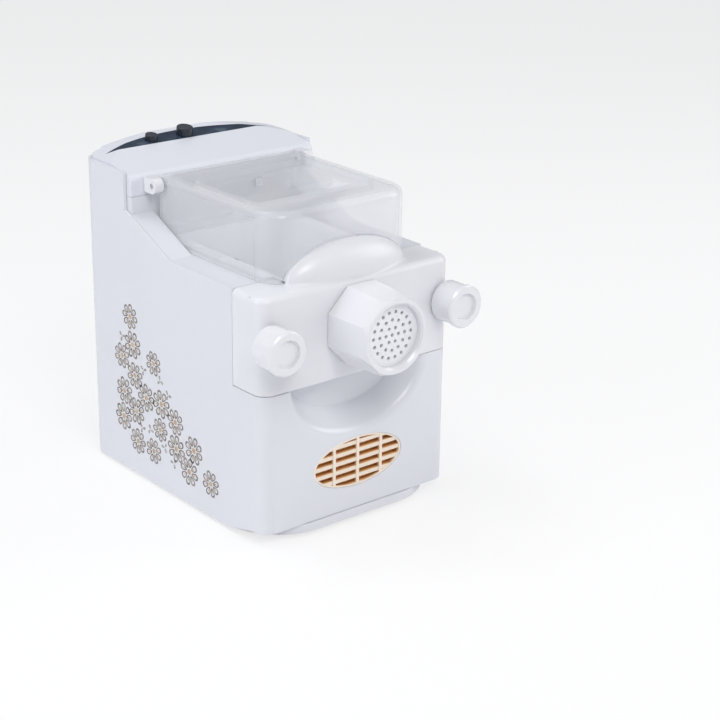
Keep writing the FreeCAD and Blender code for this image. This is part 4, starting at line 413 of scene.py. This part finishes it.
leaf_centres = np.repeat(buds_at, 3, 0)
leaf_headings = (draw.uniform(0, 2 * np.pi, len(buds_at))[:, None] + np.array([0, 2.1, 4.2])).ravel()
leaf_reach = np.full(len(leaf_centres), LEAF_REACH)
leaves = petal_rings(leaf_centres, leaf_headings, leaf_reach, leaf_reach * 0.3, 0.15, 0.3)

line_ink = print_ink("ornament_line_ink", (0.15, 0.125, 0.11), (0.33, 0.28, 0.235), 0.4)
warm_ink = print_ink("ornament_warm_ink", (0.47, 0.33, 0.19), (0.62, 0.47, 0.31), 0.4)
printed("ornament_petals", petals, line_ink)
printed("ornament_veins", veins, warm_ink)
printed("ornament_hearts", hearts, warm_ink)
printed("ornament_leaves", leaves, line_ink)


# Floor, light and camera

def open_ground(name, half):
    """A flat square sheet from -half to +half in X and Y, at the height that the feet stand on."""
    corners = [(-half, -half, 0), (half, -half, 0), (half, half, 0), (-half, half, 0)]
    mesh = bpy.data.meshes.new(name)
    mesh.from_pydata(corners, [], [(0, 1, 2, 3)])
    thing = bpy.data.objects.new(name, mesh)
    bpy.context.scene.collection.objects.link(thing)
    return thing


def camera_white(finish, share):
    """Mixes plain white into what the camera and clear plastic see of a material."""
    rays = finish.add("ShaderNodeLightPath")
    seen = finish.add("ShaderNodeMath", operation="MAXIMUM")
    finish.feed(seen.inputs[0], rays.outputs["Is Camera Ray"])
    finish.feed(seen.inputs[1], rays.outputs["Is Transmission Ray"])
    amount = finish.add("ShaderNodeMath", operation="MULTIPLY")
    finish.feed(amount.inputs[0], seen.outputs[0])
    amount.inputs[1].default_value = share
    glow = finish.add("ShaderNodeEmission")
    glow.inputs["Strength"].default_value = 1
    blend = finish.add("ShaderNodeMixShader")
    finish.feed(blend.inputs["Fac"], amount.outputs[0])
    finish.feed(blend.inputs[1], finish.shader.outputs[0])
    finish.feed(blend.inputs[2], glow.outputs[0])
    finish.feed(finish.nodes["Material Output"].inputs["Surface"], blend.outputs[0])


floor_finish = Finish("floor_paper", (0.93, 0.93, 0.94), 0.85)
floor_finish.relief(floor_finish.noise(60, 3), 0.0002, 0.1)
camera_white(floor_finish, 0.7)
open_ground("floor", 6).data.materials.append(floor_finish.material)

world = bpy.data.worlds.new("studio")
bpy.context.scene.world = world
world.use_nodes = True
sky = world.node_tree
background = sky.nodes["Background"]
background.inputs["Color"].default_value = (0.93, 0.95, 1.0, 1)
background.inputs["Strength"].default_value = 0.42
white_field = sky.nodes.new("ShaderNodeBackground")
white_field.inputs["Color"].default_value = (1, 1, 1, 1)
rays = sky.nodes.new("ShaderNodeLightPath")
seen = sky.nodes.new("ShaderNodeMath")
seen.operation = "MAXIMUM"
sky.links.new(rays.outputs["Is Camera Ray"], seen.inputs[0])
sky.links.new(rays.outputs["Is Transmission Ray"], seen.inputs[1])
mixed = sky.nodes.new("ShaderNodeMixShader")
sky.links.new(seen.outputs[0], mixed.inputs["Fac"])
sky.links.new(background.outputs[0], mixed.inputs[1])
sky.links.new(white_field.outputs[0], mixed.inputs[2])
sky.links.new(mixed.outputs[0], sky.nodes["World Output"].inputs["Surface"])


def soft_lamp(name, place, aim, width, power, colour=(1, 1, 1)):
    """A square area lamp that looks from a place at an aim."""
    lamp = bpy.data.lights.new(name, "AREA")
    lamp.size = width
    lamp.energy = power
    lamp.color = colour
    thing = bpy.data.objects.new(name, lamp)
    bpy.context.scene.collection.objects.link(thing)
    back = np.array(place, float) - np.array(aim, float)
    back /= np.linalg.norm(back)
    right = np.cross((0, 0, 1), back)
    right /= np.linalg.norm(right)
    turned = np.eye(4)
    turned[:3, :3] = np.stack([right, np.cross(back, right), back], 1)
    turned[:3, 3] = place
    thing.matrix_world = Matrix(turned.tolist())


soft_lamp("key_lamp", (-0.5, -1.5, 1.7), (0, -0.05, 0.15), 0.9, 15.5, (1, 0.985, 0.96))
soft_lamp("side_lamp", (-1.7, 0.2, 0.9), (0, 0, 0.15), 0.9, 8.5, (0.97, 0.975, 1))
soft_lamp("right_lamp", (1.5, -0.9, 0.9), (0, -0.05, 0.15), 1.0, 9)
soft_lamp("top_lamp", (-0.5, 0.7, 2.1), (0, 0.05, 0.25), 1.0, 12.5, (0.96, 0.98, 1))

CAMERA_LENS = 90.843
CAMERA_PLACE = (-0.962234, -1.277611, 0.726820)
CAMERA_RIGHT = (0.772147, -0.635318, 0.012640)
CAMERA_UP = (0.216431, 0.281643, 0.934791)
CAMERA_BACK = (-0.597450, -0.719061, 0.354972)

camera = bpy.data.objects.new("camera", bpy.data.cameras.new("camera"))
bpy.context.scene.collection.objects.link(camera)
camera.data.lens = CAMERA_LENS
camera.data.sensor_width = 36
camera.data.clip_end = 30
stand = np.eye(4)
stand[:3, :3] = np.stack([CAMERA_RIGHT, CAMERA_UP, CAMERA_BACK], 1)
stand[:3, 3] = CAMERA_PLACE
camera.matrix_world = Matrix(stand.tolist())
bpy.context.scene.camera = camera
bpy.context.scene.view_settings.view_transform = "Standard"
